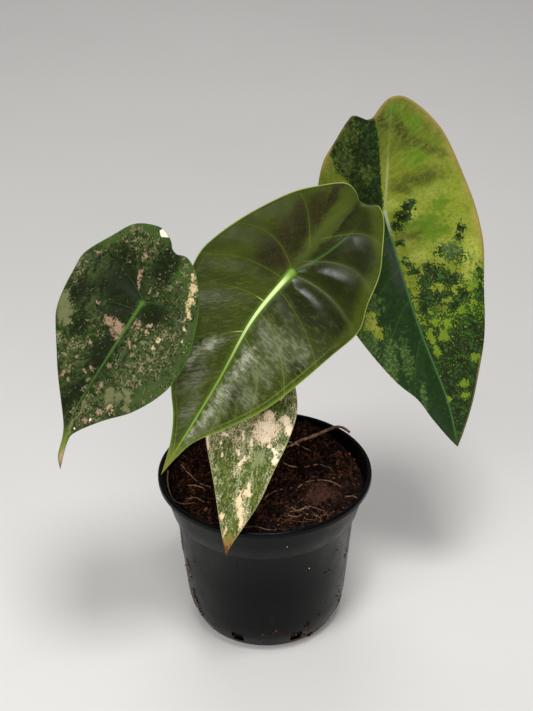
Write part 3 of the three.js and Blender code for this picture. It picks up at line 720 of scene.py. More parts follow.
def lime_markings(p):
    """Dark green on the left of a line that runs down the sinus and the rib, and lime on its right,
    with dark patches on the lime, lime patches on the green, and an even mix towards the tip."""
    border = np.interp(p.s, [-50, -38, -30, -20, -12, -4, 0], [8.6, 8.2, 6.6, 4.2, 2.2, 0.6, -0.6])
    across = np.where(p.s < 0, p.t - border, p.q)
    green = np.clip(-across / 1.2, -1, 1)
    rim = np.interp(p.s, [-55, -45, -38, -30, -25, -18, 0], [-16, -21, -21, -20, -16.5, -15, -30])
    green = np.where(p.s < 0, np.minimum(green, np.clip((p.t - rim) / 3, -1, 1)), green)
    green += 0.9 * smoothstep(across, -2, 2) * smoothstep(p.s, 26, 50)
    green += 0.6 * smoothstep(across, -2, 2) * smoothstep(p.s, 54, 84)
    green = np.maximum(green, 1.1 * patches(p, [
        (10, 3, 3.6, 3, 0), (6, 7.5, 3.2, 4, 0), (1.5, 11.5, 2.6, 3.4, 0), (-0.5, 14.4, 1.8, 1.8, 0),
        (4, 15.6, 1, 1, 0), (20, 1.5, 1.4, 3, 0), (20.5, 34, 3.6, 2.2, 0), (24.6, 31.6, 3, 2.2, 0),
        (29, 21.5, 3.4, 4.4, 0), (32, 26.6, 5.4, 5, 0), (35, 29.5, 3.4, 2.6, 0), (19, 2, 2, 2.6, 0),
        (31, 2.6, 3.6, 2, 0), (36, 4, 2, 4, 0), (38, 14, 4, 5, 0), (42, 16, 4, 6, 0), (46, 21, 4, 6, 0),
        (42, 8, 5, 4, 0), (52, 6, 6, 5, 0), (54, 14, 5, 7, 0), (60, 20, 6, 5, 0), (56, 25, 5, 4, 0),
        (48, 37, 6, 1.8, 0), (57, 34, 6, 3, 0), (58, 3, 6, 2.4, 0), (106, 5, 14, 4, 0), (118, 6, 12, 4, 0),
        (98, 4, 6, 4, 0), (88, 13, 9, 6, 0), (74, 25, 9, 5, 0), (90, 4, 5, 4, 0), (86, 20, 6, 4, 0),
    ]))
    green = np.minimum(green, -1.1 * patches(p, [
        (52, -29, 5, 3.4, 0), (57.5, -26.5, 4, 2.4, 0), (48, -28, 2, 3, 0), (105, 12, 2.2, 2.6, 0),
        (112, 11.4, 2.4, 2.8, 0), (112, 2.4, 2, 1.2, 0), (27, 9, 5, 7, 0), (40, 0.6, 3, 1.4, 0),
        (47, 1.4, 3, 1.4, 0), (68, 12, 3.4, 2.6, 30), (66, 7, 3.4, 2, 0), (74, 2.4, 5, 2, 0),
        (74, 9, 4, 2.4, 0), (43, 31, 7, 4.4, 0), (52, 31, 4, 3, 0), (82, 3, 4, 1.8, 0), (92, 22, 2.6, 2, 0),
        (64, 22, 3, 2.4, 0), (56, 16, 2.4, 2.4, 0),
    ]))
    soft = patches(p, [
        (-24, 24, 8, 6, 0), (-40, 27, 6, 5, 0), (13, 17, 5, 11, 0), (19, 20, 4, 9, 0), (5, 28, 4, 6, 0),
        (66, 33, 26, 4.6, -4), (-48, 20, 5, 5, 0), (72, 24, 18, 9, 0),
    ])
    # Painted shade in the valleys between the bulges of the lime half.
    hollow = patches(p, [
        (-38, 20, 12, 3.6, 8), (-11, 22, 5.4, 15, -6), (-26, 30, 14, 3, 50), (-8, 12, 3, 7, -30),
        (17, 8, 2.6, 8, -12), (56, 8, 4, 9, -32), (-46, 12, 8, 3, 0),
    ])
    pale = patches(p, [
        (29, 9, 4, 6, 0), (42, 33, 10, 5, 0), (35, 36, 6, 4, 0), (-2, 5, 3, 4, 0), (7, 13, 4, 4, 0),
        (34, 37, 8, 3.4, 0), (52, -28, 6, 4, 0),
    ])
    mist = patches(p, [
        (80, -15, 12, 3.6, -4), (60, -33, 18, 5.6, -14), (80, -26, 20, 4.4, -16), (-46, -8, 6, 7, 0),
        (-34, -14, 8, 5, 0), (30, 26, 6, 5, 0), (42, -24, 7, 5, 0), (104, -12, 10, 2, -8),
        (-22, -4, 6, 4, 0),
    ])
    return {"green": green, "soft": soft, "hollow": hollow, "pale": pale, "mist": mist}


def cream_markings(p):
    cream = patches(p, [
        (27, 8.6, 7.6, 6, -20), (31.5, 8, 2.8, 5, 0), (24.6, 5, 2.6, 4, 0), (19, 8.5, 4, 3, 0),
        (24, 19.6, 3.6, 2.4, 0), (20, 17.6, 3, 3, 0), (39, -20.3, 5, 1.5, 10), (36.5, 14.6, 1.6, 1.6, 0),
        (41, 15.8, 3.4, 1.3, -15), (45.5, -0.8, 4.4, 0.9, 0), (35, 1.6, 3, 0.9, 20), (32, -3, 5, 0.7, 0),
        (61.5, 4, 1.6, 3.6, 0), (66.5, 1.8, 2.6, 1.2, 0), (71, 3, 3, 1.2, 10), (76, 4.2, 4.2, 1.5, 0),
        (5, 12, 4, 3, 0), (-6, -12, 4, 4, 0), (8, -17, 4, 3, 0), (33, -12.5, 1.2, 1.8, 0),
        (40.5, -4, 2.2, 0.8, 0), (66, 0.8, 3.4, 0.7, 0), (84, -3.4, 5, 0.6, -16), (74.8, -6, 2, 1.1, 0),
        (57.5, 5, 3, 1.2, 0), (38, -14, 1, 1, 0), (44, -12, 1, 1, 0), (36, 12, 1.2, 1, 0),
    ])
    mist = patches(p, [
        (25, 14.5, 5, 4, 0), (56, 5, 3.6, 2.2, 0), (58, -1, 8, 0.7, 0), (34, -2.4, 8, 1.4, 0),
        (42, 7, 6, 3.4, 0), (-5, 8, 8, 5, 0), (10, -8, 8, 5, 0), (20, 17, 5, 4, 0),
    ])
    plain = patches(p, [
        (50, -10, 10, 4, 8), (64, -6, 12, 3.4, 8), (48, 9, 12, 4, 0), (10, 10, 8, 6, 0), (14, 14, 5, 4, 0),
        (30.5, 19, 2.6, 2.6, 0), (60, 10, 8, 2, -10), (84, 0, 8, 3, 0), (52, 2, 4, 2, 0),
    ])
    spots = patches(p, [(76, 6.6, 2.4, 1, 0), (22, 1, 1.6, 3, 20)])
    dried = np.maximum(smoothstep(p.s, 78, 93), 0.8 * spots)
    return {"cream": cream, "mist": mist, "plain": plain, "dried": dried}


# Materials

def srgb(text):
    """An sRGB hex colour as linear numbers."""
    parts = [int(text[i:i + 2], 16) / 255 for i in (1, 3, 5)]
    return (*[x / 12.92 if x <= 0.04045 else ((x + 0.055) / 1.055)**2.4 for x in parts], 1)


def fill(node, inputs):
    """Gives a node's inputs their values: numbers, hex colours, or links from other nodes."""
    for name, value in inputs.items():
        value = value.socket if isinstance(value, Field) else value
        if isinstance(value, bpy.types.NodeSocket):
            node.id_data.links.new(value, node.inputs[name])
        else:
            node.inputs[name].default_value = srgb(value) if isinstance(value, str) else value


def add_node(tree, kind, inputs=(), **settings):
    """Adds a node with its settings, and its inputs as values or as links."""
    node = tree.nodes.new(f"ShaderNode{kind}")
    for name, value in settings.items():
        setattr(node, name, value)
    fill(node, dict(inputs))
    return node


class Field:
    """A number that a material works out at every point, such as how thickly a pigment lies there.
    Fields are added, subtracted and multiplied as numbers are."""

    def __init__(self, socket):
        self.socket = socket

    def worked(self, operation, *others):
        inputs = dict(enumerate((self, *others)))
        return Field(add_node(self.socket.id_data, "Math", inputs, operation=operation).outputs[0])

    def __add__(self, other):
        return self.worked("ADD", other)

    def __sub__(self, other):
        return self.worked("SUBTRACT", other)

    def __mul__(self, other):
        return self.worked("MULTIPLY", other)

    def step(self, low, high, start=0, end=1):
        """Its way from low to high, as a soft step from start to end."""
        limits = {"Value": self, "From Min": low, "From Max": high, "To Min": start, "To Max": end}
        shape = {"interpolation_type": "SMOOTHSTEP"}
        return Field(add_node(self.socket.id_data, "MapRange", limits, **shape).outputs["Result"])


def new_material(name, ior=1.45, gloss=0.5):
    """A material and its tree. The gloss is the share of its mirror reflection, 0.5 in full."""
    material = bpy.data.materials.new(name)
    material.use_nodes = True
    fill(material.node_tree.nodes["Principled BSDF"], {"IOR": ior, "Specular IOR Level": gloss})
    return material, material.node_tree


def finish_skin(material, colour, rough, heights=None, depth=0, strength=1):
    """Gives a material its colour and its roughness, and a relief this many millimetres deep."""
    tree = material.node_tree
    shader = tree.nodes["Principled BSDF"]
    fill(shader, {"Base Color": colour, "Roughness": rough})
    if heights:
        relief = {"Height": heights, "Strength": strength, "Distance": depth * MM}
        fill(shader, {"Normal": add_node(tree, "Bump", relief).outputs[0]})
    return material


def layered(tree, colour, layers):
    """Pigments laid over one another, each as thickly as its mask says."""
    for mask, pigment in layers:
        inputs = {"Factor": mask, 6: colour, 7: pigment}
        colour = add_node(tree, "Mix", inputs, data_type="RGBA").outputs[2]
    return colour


def clouds(tree, places, scale, detail, rough, bend=0):
    """Cloudy cells, at a scale for each axis of the places that they are drawn in."""
    mapped = add_node(tree, "Mapping", {"Vector": places, "Scale": scale}).outputs[0]
    look = {"Vector": mapped, "Scale": 1, "Detail": detail, "Roughness": rough, "Distortion": bend}
    return Field(add_node(tree, "TexNoise", look).outputs["Fac"])


def grain(tree, size, stretch=1, detail=3, rough=0.55, places="blade_mm", bend=0):
    """Cells about this many millimetres wide on a blade, drawn out along the second axis."""
    kept = add_node(tree, "Attribute", attribute_name=places).outputs["Vector"]
    return clouds(tree, kept, (1 / size, 1 / (size * stretch), 1), detail, rough, bend)


def object_grain(tree, size, detail=3, rough=0.55, stretch=(1, 1, 1)):
    """Cells about this many millimetres wide in the part's own frame."""
    place = add_node(tree, "TexCoord").outputs["Object"]
    return clouds(tree, place, [1 / (size * MM * x) for x in stretch], detail, rough)


def height_up(tree):
    """How high points lie above the pot's foot, in metres."""
    place = add_node(tree, "TexCoord").outputs["Object"]
    return Field(add_node(tree, "SeparateXYZ", {0: place}).outputs[2])


def stored(tree, *names):
    """The numbers that a piece keeps for each of its points, by their names."""
    kept = {name: add_node(tree, "Attribute", attribute_name=name).outputs["Fac"] for name in names}
    return SimpleNamespace(**{name: Field(socket) for name, socket in kept.items()})


def torn(field, cells, soft, level=0):
    """Where a marking shows: where its field rises past a level, once cells of several sizes have
    swung it up and down. A plain number for the field gives flecks all over."""
    swung = field - 0.5 * sum(amount for _, amount in cells)
    for cell, amount in cells:
        swung = cell.worked("MULTIPLY_ADD", amount, swung)
    return swung.step(level - soft, level + soft)


def leaf_fields(tree, *marks):
    """The fields of a blade: where its points lie, masks of its midrib, costae, side veins and
    margin, and the markings that its skin asks for."""
    leaf = stored(tree, *BLADE_LINES, *marks)
    places = add_node(tree, "Attribute", attribute_name="blade_mm").outputs["Vector"]
    leaf.along, leaf.across = (Field(x) for x in add_node(tree, "SeparateXYZ", {0: places}).outputs[:2])
    leaf.off_rib = leaf.rib_mm.worked("ABSOLUTE")
    off_line = leaf.rib_share.worked("ABSOLUTE")
    off_costa = leaf.costa_mm.worked("ABSOLUTE")
    off_vein = leaf.vein_rank.worked("PINGPONG", 0.5) * leaf.vein_gap
    ahead = leaf.along.step(-1.5, 1)
    leaf.behind = leaf.along.step(1, -1.5)
    leaf.left = leaf.blade_side.step(0.03, -0.03)
    leaf.right = leaf.blade_side.step(-0.03, 0.03)
    leaf.rib = off_line.step(0.7, 1.3, 1, 0) * ahead
    leaf.rib_near = leaf.off_rib.step(0.8, 3.2, 1, 0) * ahead
    leaf.rib_wide = leaf.off_rib.step(4, 8, 1, 0) * ahead
    leaf.costa = off_costa.step(0.3, 1, 1, 0) * leaf.behind
    leaf.vein = off_vein.step(0.05, 0.4, 1, 0) * leaf.off_rib.step(0.4, 1.5)
    leaf.valley = off_vein.step(0.2, 2.6, 1, 0) * leaf.off_rib.step(0.4, 3)
    leaf.tan_rim = (leaf.blade_side * 40 - leaf.along).step(-12, 6)
    return leaf


def finish_leaf(material, leaf, colour, reverse, rough, heights, depth, dull=0):
    """The underside's own colour and veins, the wax on the skin, which wears thin on the veins and
    the margin, and the relief of its cells."""
    tree = material.node_tree
    seen_below = layered(tree, colour, [
        (0.72, reverse),
        (leaf.vein * 0.6, "#6e7b45"),
        (leaf.costa, "#6e7b45"),
        (leaf.rib_near, "#78873f"),
    ])
    whole = layered(tree, colour, [(leaf.underside, seen_below)])
    wax = grain(tree, 5).step(0.3, 0.7, rough - 0.05, rough + 0.07)
    worn = leaf.valley * 0.2 + leaf.margin_mm.step(0.4, 1.8, 1, 0) * 0.4
    return finish_skin(material, whole, wax + worn + dull, heights, depth)


def speckled_leaf():
    """Living leaf, dark green and finely speckled with cream: a thin waxed skin, more satin than
    gloss, in which each pale fleck is a group of cells without green."""
    material, tree = new_material("speckled_leaf_skin", gloss=0.08)
    leaf = leaf_fields(tree, "cream", "white", "sage", "flecks", "shade", "fresh")
    broad = grain(tree, 12)
    cluster = grain(tree, 6)
    mottle = grain(tree, 2.6, detail=4, rough=0.6)
    spots = grain(tree, 2.2, stretch=1.3, detail=2, places="grain_mm")
    dust = grain(tree, 1.1, detail=2)
    pale_side = leaf.across.step(6, 18)
    # fewer flecks show in the painted shade
    dim_fleck = leaf.flecks * 0.14 - leaf.shade * 0.1 - 0.2
    pale_fleck = leaf.flecks * 0.18 - leaf.shade * 0.12 - 0.38
    bright_fleck = leaf.flecks * 0.2 - leaf.shade * 0.12 - 0.62
    rim_cream = layered(tree, "#6b5a44", [(pale_side, "#80784c")])
    full_cream = layered(tree, "#947b64", [(pale_side, "#c8b488")])
    colour = layered(tree, "#1f2b10", [
        (torn(leaf.fresh, [(cluster, 1.4), (mottle, 1.4)], 0.4, -0.05), "#35561a"),
        # painted shade: the mid green mottle thins, dark spots gather and the blade darkens in the shaded
        # zones
        (torn(leaf.shade * -0.12 - 0.02, [(mottle, 1.8), (dust, 0.8)], 0.2), "#374323"),
        (torn(leaf.shade * 0.1 - 0.1, [(spots, 2.2), (cluster, 1)], 0.14), "#141d0b"),
        (torn(leaf.shade, [(broad, 1.2), (mottle, 2.4), (dust, 0.8)], 0.45, 0.15) * 0.85, "#171c0d"),
        (torn(dim_fleck, [(mottle, 2), (dust, 1), (cluster, 0.8)], 0.18), "#454c2b"),
        (torn(pale_fleck, [(spots, 2), (dust, 1.6), (cluster, 1)], 0.18), "#666446"),
        (torn(bright_fleck, [(mottle, 2), (dust, 2), (cluster, 1)], 0.16), "#8a7f5f"),
        (torn(leaf.sage, [(cluster, 0.8), (mottle, 1.4), (dust, 1)], 0.3) * 0.8, "#545d3a"),
        (torn(leaf.sage, [(dust, 2), (mottle, 2)], 0.3, 0.2) * 0.55, "#75714f"),
        (torn(leaf.cream, [(mottle, 2), (dust, 2.2)], 0.3) * 0.8, rim_cream),
        (torn(leaf.cream, [(dust, 3), (mottle, 2.4)], 0.35, 0.35) * 0.85, full_cream),
        (torn(leaf.white, [(mottle, 0.8), (dust, 0.8)], 0.12), "#f0d9c8"),
        (leaf.vein * leaf.off_rib.step(16, 3, 0.15, 0.4), "#45523c"),
        (leaf.rib * leaf.along.step(10, 60, 0.85, 0.4), "#466629"),
        (leaf.rib_near * leaf.along.step(0, 4, 0.5, 0), "#456f20"),
        # painted highlight: a thin green line along the margin
        (leaf.margin_mm.step(0.3, 0.8, 1, 0) * 0.6, "#3f6124"),
        (leaf.along.step(70, 82), "#6d7a30"),
        (leaf.along.step(78, 86) * leaf.across.step(-4, -2), "#a58a6c"),
        (leaf.along.step(86, 92), "#6b4c44"),
    ])
    return finish_leaf(material, leaf, colour, "#33302a", 0.52, spots * 0.5 + dust * 0.5, 0.12)


def olive_leaf():
    """Living leaf, olive and glossy: a young blade whose waxed skin is quilted between the veins,
    with fine wrinkles across it that break its gloss, and a silvery tone partly painted as reflection."""
    material, tree = new_material("olive_leaf_skin", gloss=0.28)
    leaf = leaf_fields(tree, "brown", "core", "band", "silver", "sheen", "shade")
    along, margin = leaf.along, leaf.margin_mm
    broad = grain(tree, 13)
    blotch = grain(tree, 3.4, detail=5, rough=0.62)
    fleck = grain(tree, 1.2)
    wrinkles = grain(tree, 0.9, stretch=2.4, places="wrinkle_mm", bend=0.5)
    creases = grain(tree, 2, stretch=2.2, detail=2, places="wrinkle_mm", bend=0.4)
    threads = grain(tree, 0.8, stretch=5, detail=2, places="wrinkle_mm", bend=0.7)
    cloudy = [(broad, 0.8), (blotch, 0.6)]
    silver = torn(leaf.silver, [(broad, 1), (blotch, 1.8)], 0.5, 0.2)
    sheen = torn(leaf.sheen, [(blotch, 1.8), (fleck, 1)], 0.5, 0.2)
    brown = torn(leaf.brown, [(blotch, 2), (fleck, 1.6)], 0.5, -0.15)
    lower = along.step(12, 45)
    crinkled = threads.step(0.43, 0.57) * 0.6 + creases.step(0.44, 0.58) * 0.4
    slim = (leaf.off_rib + along.step(0, 45) * 0.9).step(1.2, 1.9, 1, 0)
    # the pale midrib, with a painted highlight that makes its left side paler than its right
    rib = leaf.rib * slim * leaf.rib_mm.step(1.3, 0.2, 0.3, 1)
    spurs = leaf.vein * leaf.left * leaf.off_rib.step(7, 1.5) * along.step(8, 14) * along.step(48, 42)
    colour = layered(tree, "#222904", [
        (leaf.left, "#2c3504"),
        (broad.step(0.35, 0.65, 0, 0.7) * leaf.left, "#3a4407"),
        (lower * 0.7, "#3d4714"),
        (leaf.right * margin.step(9, 3) * along.step(30, 10) * 0.7, "#414d0c"),
        # painted shade on the bulges' lower flanks
        (torn(leaf.shade, cloudy, 0.5, 0.1) * 0.9, "#191e05"),
        # painted highlight on the crease crests and painted shade in the wrinkle hollows, following the
        # relief below
        (creases.step(0.5, 0.66) * along.step(0, 40, 0.06, 0.5), "#59622e"),
        (wrinkles.step(0.5, 0.36) * lower * 0.6, "#232a0b"),
        (torn(-0.28, [(fleck, 1.4), (blotch, 1)], 0.3), "#272e08"),
        (torn(leaf.band, cloudy, 0.5, 0.1) * 0.6, "#434d0e"),
        (brown * 0.95, "#231a05"),
        (torn(leaf.core, [(fleck, 2.6), (blotch, 2.4)], 0.6, 0.1) * 0.6, "#150f05"),
        (brown * torn(0, [(fleck, 2), (blotch, 1.4)], 0.2) * 0.35, "#36400a"),
        # silvery tone, partly the skin's own and partly painted reflection, broken by the wrinkles
        (silver * crinkled.step(0.1, 0.9, 0.25, 0.75), "#71765a"),
        # painted reflection beside the lower rib, broken by the wrinkles
        (sheen * crinkled.step(0.1, 0.75, 0.25, 0.95), "#989b84"),
        (leaf.valley * 0.1, "#535f18"),
        (leaf.vein * leaf.off_rib.step(2, 30, 0.4, 0.16), "#5c7420"),
        (leaf.vein * leaf.right * lower * 0.28, "#7f8c38"),
        (spurs, "#a5bc62"),
        (leaf.costa * leaf.right * along.step(-40, -24) * 0.6, "#3c5a0e"),
        (leaf.rib_near * along.step(0, 70, 0.6, 0.25), "#55741a"),
        (leaf.rib_near * along.step(0, 10, 0.8, 0), "#5f9a12"),
        (rib * along.step(96, 120, 1, 0.4), "#77913a"),
        # pale midrib near the joint, with the painted highlight on its left side
        (rib * along.step(24, 66, 1, 0) * along.step(1, 9), "#cbdc94"),
        (margin.step(0.8, 2.6, 1, 0) * along.step(20, 70) * 0.8, "#5c7614"),
        (margin.step(4.4, 3.6) * margin.step(2.6, 3.4) * lower * 0.5, "#66762c"),
        # a thin pale line on the margin: partly its own edge colour, partly painted rim light
        (margin.step(0.2, 0.7, 0.75, 0), "#98a352"),
        (along.step(104, 120) * 0.8, "#7c7a34"),
    ])
    calm = lower * 0.9 + 0.1
    heights = wrinkles * calm + creases * calm * 0.8 + fleck * 0.05
    dull_left = leaf.left * along.step(50, 20, 0, 0.3)
    dull_right = leaf.right * along.step(8, 14) * along.step(44, 28, 0, 0.25)
    dull_lobe = leaf.right * along.step(-4, -26, 0.03, 0.16) * along.step(2, -4)
    dull = dull_left + dull_right + dull_lobe
    return finish_leaf(material, leaf, colour, "#3a2a28", 0.26, heights, 0.16, dull)


def lime_leaf():
    """Living leaf, half lime and half dark green: a satin waxed skin, with dark and lime cells
    laid over one another in ragged islands towards the tip."""
    material, tree = new_material("lime_leaf_skin", gloss=0.18)
    leaf = leaf_fields(tree, "green", "soft", "hollow", "pale", "mist")
    along, margin = leaf.along, leaf.margin_mm
    broad = grain(tree, 14)
    islands = grain(tree, 5, detail=5, rough=0.62)
    blotch = grain(tree, 2.2, detail=4, rough=0.65)
    fine = grain(tree, 1.1, detail=2)
    rays = grain(tree, 1.6, stretch=3, places="grain_mm", bend=0.6)
    tears = [(islands, 1.3), (blotch, 2.8), (fine, 1.5)]
    lime = layered(tree, "#6d7a1c", [
        (broad.step(0.35, 0.65, 0, 0.8), "#82882e"),
        # painted shade: darker towards the top of the lobes
        (along.step(-4, -38, 0, 0.9), "#4b5416"),
        (torn(leaf.pale, [(islands, 1.6), (blotch, 1)], 0.5) * 0.85, "#9aa043"),
        (torn(leaf.soft, [(islands, 2), (blotch, 1.8)], 0.35) * 0.85, "#4b6c10"),
        # painted shade in the valleys between the bulges
        (torn(leaf.hollow, [(broad, 0.8), (blotch, 0.6)], 0.6, 0.15) * 0.85, "#35370c"),
        (torn(-0.04, [(fine, 1.2), (rays, 1.4)], 0.25) * 0.3, "#8d9440"),
        (torn(-0.08, [(fine, 1), (blotch, 1.6)], 0.2) * 0.45, "#4c5a14"),
        (along.step(52, 70) * leaf.right * 0.6, "#5d7a12"),
        (margin.step(0.6, 6, 0.75, 0) * leaf.tan_rim * broad.step(0.3, 0.6) * 0.7, "#9a8248"),
    ])
    mist = torn(leaf.mist, [(islands, 1.8), (blotch, 1.8)], 0.35, 0.05)
    thin_mist = layered(tree, "#3c5430", [(leaf.behind, "#37401b")])
    thick_mist = layered(tree, "#54692c", [(leaf.behind, "#45541f")])
    dark = layered(tree, "#171f0a", [
        (leaf.left * along.step(-8, 10), "#1b3216"),
        (torn(-0.04, [(blotch, 1.8), (islands, 1)], 0.2), "#263a16"),
        (leaf.right * torn(-0.24, [(islands, 1.6), (blotch, 1.8)], 0.2), "#30541a"),
        (leaf.right * torn(-0.5, [(blotch, 2), (fine, 1.6)], 0.16) * 0.8, "#45701f"),
        (leaf.left * leaf.rib_wide * along.step(12, 20) * along.step(54, 36) * 0.6, "#3a4037"),
        (mist * 0.5, thin_mist),
        (mist * torn(-0.1, [(blotch, 2.2), (fine, 1.2)], 0.2), thick_mist),
        (torn(-0.62, [(blotch, 2), (fine, 1.6)], 0.12), "#5c6d2a"),
    ])
    colour = layered(tree, lime, [
        (torn(leaf.green, tears, 0.12, -0.14) * 0.5, "#42601a"),
        (torn(leaf.green, tears, 0.06), dark),
        (leaf.vein * 0.14, "#75853c"),
        # pale costa ridge: partly its own pale colour, partly a painted glint
        (leaf.costa * leaf.right * along.step(-34, -14, 0.1, 0.6), "#9a9a68"),
        (leaf.rib * 0.7, "#426637"),
        (leaf.rib_near * along.step(0, 4, 0.6, 0), "#8b9448"),
        # painted glint along the rib near the joint
        (leaf.rib * along.step(4, 18, 0.7, 0), "#a4b08a"),
        (margin.step(0.5, 1.5, 0.9, 0) * leaf.tan_rim * leaf.green.step(0.9, 0.2, 0.25, 1), "#8b7341"),
        (margin.step(0.5, 1.8, 0.8, 0) * leaf.right * along.step(84, 100), "#7d7342"),
        (along.step(130, 141), "#353f1c"),
    ])
    return finish_leaf(material, leaf, colour, "#403a30", 0.46, fine * 0.6 + rays * 0.5, 0.15)


def cream_leaf():
    """Living leaf, mid green and splashed with cream: a satin waxed skin, with streaks of cells
    without green along its length, and a dried brown tip."""
    material, tree = new_material("cream_leaf_skin", gloss=0.2)
    leaf = leaf_fields(tree, "cream", "mist", "plain", "dried")
    broad = grain(tree, 9)
    cluster = grain(tree, 6, stretch=0.6)
    streaks = grain(tree, 3, stretch=0.4, detail=4, rough=0.65)
    fleck = grain(tree, 1.4, stretch=0.6, detail=2)
    dust = grain(tree, 0.8, detail=2)
    # painted light: the cream is brighter on the upper blade, which lies in the shadow of the leaf above
    high = (leaf.along + fleck * 12).step(62, 44)
    core = layered(tree, "#f0d0a8", [(high, "#ffe9ca")])
    colour = layered(tree, "#344114", [
        (broad.step(0.35, 0.65), "#47561f"),
        (torn(0, [(streaks, 1.6), (fleck, 1.4)], 0.2), "#56672c"),
        (torn(leaf.plain * -0.1 - 0.1, [(fleck, 1.8), (cluster, 1.4), (streaks, 1)], 0.16), "#2b3d18"),
        (torn(leaf.plain * -0.24 - 0.12, [(streaks, 2), (dust, 1.2), (cluster, 1.2)], 0.16), "#78825a"),
        (torn(leaf.plain * -0.26 - 0.32, [(fleck, 2.2), (dust, 1.4), (cluster, 1.2)], 0.14), "#b4a57e"),
        (torn(leaf.plain * -0.26 - 0.5, [(dust, 1.8), (streaks, 2.2), (cluster, 1)], 0.14), "#e8d6b2"),
        (torn(leaf.mist, [(streaks, 2.4), (fleck, 1.6), (dust, 1)], 0.4) * 0.6, "#8c9468"),
        (torn(leaf.cream, [(streaks, 1.4), (fleck, 1.4), (dust, 0.8)], 0.16), "#dabd90"),
        # the cream's core, brightened on the upper blade with painted light
        (torn(leaf.cream, [(fleck, 2.4), (streaks, 1.6), (dust, 1)], 0.2, 0.15), core),
        (leaf.rib * 0.35, "#75885c"),
        (leaf.vein * 0.15, "#75885c"),
        (leaf.margin_mm.step(0.15, 0.6, 0.6, 0), "#a9a37c"),
        (torn(leaf.dried, [(fleck, 2), (streaks, 2)], 0.3, 0.3) * 0.7, "#8f8440"),
        (torn(leaf.dried, [(fleck, 2), (streaks, 1.4)], 0.3, 0.72), "#8a5428"),
        (torn(leaf.dried, [(fleck, 1)], 0.2, 0.93), "#4a2a18"),
    ])
    return finish_leaf(material, leaf, colour, "#4a443a", 0.42, fleck * 0.5 + dust * 0.6, 0.16)


def pot_plastic():
    """Recycled polypropylene, injection moulded and black: a satin skin with a slight orange peel,
    scuffed where pots nest, with a film of dried soil near the foot."""
    material, tree = new_material("moulded_black_polypropylene", ior=1.49, gloss=0.13)
    film = object_grain(tree, 9, detail=5, rough=0.65)
    specks = object_grain(tree, 0.8, detail=2)
    scuff = object_grain(tree, 1.2, stretch=(1, 1, 9))
    low = height_up(tree).step(5 * MM, 70 * MM, 1, 0.2)
    colour = layered(tree, "#040405", [
        (film.step(0.5, 0.75, 0, 0.4), "#0e0e10"),
        (film.step(0.5, 0.7) * specks.step(0.62, 0.7) * low * 0.6, "#33251b"),
        (scuff.step(0.68, 0.74) * 0.3, "#2a2a2e"),
    ])
    rough = film.step(0.3, 0.7, 0.26, 0.4)
    return finish_skin(material, colour, rough, object_grain(tree, 1.6), depth=0.1, strength=0.12)


def coir_soil():
    """Potting mix of peat and shredded coir, damp: matt and crumbly, near black in its hollows and
    reddish brown on the chips."""
    material, tree = new_material("damp_peat_and_coir", gloss=0.25)
    crumbs = object_grain(tree, 2.2, detail=5, rough=0.7)
    fleck = object_grain(tree, 1.3, detail=2)
    colour = layered(tree, "#0d0705", [
        (crumbs.step(0.46, 0.6), "#27140d"),
        (crumbs.step(0.58, 0.7), "#4c2a1a"),
        (fleck.step(0.68, 0.76), "#6d3f24"),
        (stored(tree, "clod").clod.step(0.25, 0.6, 0, 0.85), "#472c20"),
    ])
    return finish_skin(material, colour, 0.9, object_grain(tree, 0.7, 4), depth=0.5, strength=0.8)


def coir_chip():
    """Chips and crumbs of coconut husk: dry fibre ends catch the light, from dark umber to rust."""
    material, tree = new_material("shredded_coconut_husk", gloss=0.25)
    tone = stored(tree, "tone").tone
    rough = object_grain(tree, 0.6)
    colour = layered(tree, "#120906", [
        (tone.step(0.3, 0.66), "#2c170e"),
        (tone.step(0.66, 0.9), "#55301d"),
        (tone.step(0.93, 0.98), "#8a5230"),
        (rough.step(0.45, 0.7, 0, 0.5), "#1c0f09"),
        (tone.step(0.992, 0.998), "#b9b4a8"),
    ])
    return finish_skin(material, colour, 0.85, rough, depth=0.3, strength=0.6)


def root_skin(name, dark, light):
    """Thin roots and coir fibre: tan, matt and slightly streaked, with soil stuck to them."""
    material, tree = new_material(name)
    colour = layered(tree, dark, [
        (object_grain(tree, 5, detail=2).step(0.35, 0.65), light),
        (object_grain(tree, 1.4, detail=4).step(0.56, 0.66, 0, 0.75), "#2b1a11"),
    ])
    return finish_skin(material, colour, 0.75)


def stalk_flesh():
    """Leaf stalk: smooth living flesh, waxed and faintly ribbed along its length, olive green with
    darker mottling towards the soil."""
    material, tree = new_material("waxed_stalk_flesh", gloss=0.35)
    ribs = object_grain(tree, 0.7, detail=2, stretch=(1, 1, 30))
    mottle = object_grain(tree, 3, detail=4, stretch=(1, 1, 2.2))
    low = height_up(tree).step(105 * MM, 170 * MM, 1, 0)
    colour = layered(tree, "#4f5c22", [
        (ribs.step(0.4, 0.65, 0, 0.6), "#64733a"),
        (mottle.step(0.5, 0.6) * 0.55, "#3a421c"),
        (low * mottle.step(0.4, 0.6, 0.25, 0.8), "#4a3024"),
    ])
    return finish_skin(material, colour, 0.4, ribs, depth=0.2, strength=0.35)


def crown_flesh():
    """Crown of the plant: ringed by old leaf scars and wrapped in dry papery sheaths, tan brown
    above green flesh."""
    material, tree = new_material("sheathed_crown", gloss=0.3)
    fibres = object_grain(tree, 0.6, stretch=(1, 1, 22))
    colour = layered(tree, "#5b5c2c", [
        (object_grain(tree, 5, detail=4).step(0.4, 0.58), "#6e4f33"),
        (fibres.step(0.45, 0.65, 0, 0.6), "#93724c"),
        (object_grain(tree, 1.5, detail=4).step(0.6, 0.7, 0, 0.7), "#2f1f14"),
    ])
    return finish_skin(material, colour, 0.65, fibres, depth=0.4, strength=0.6)


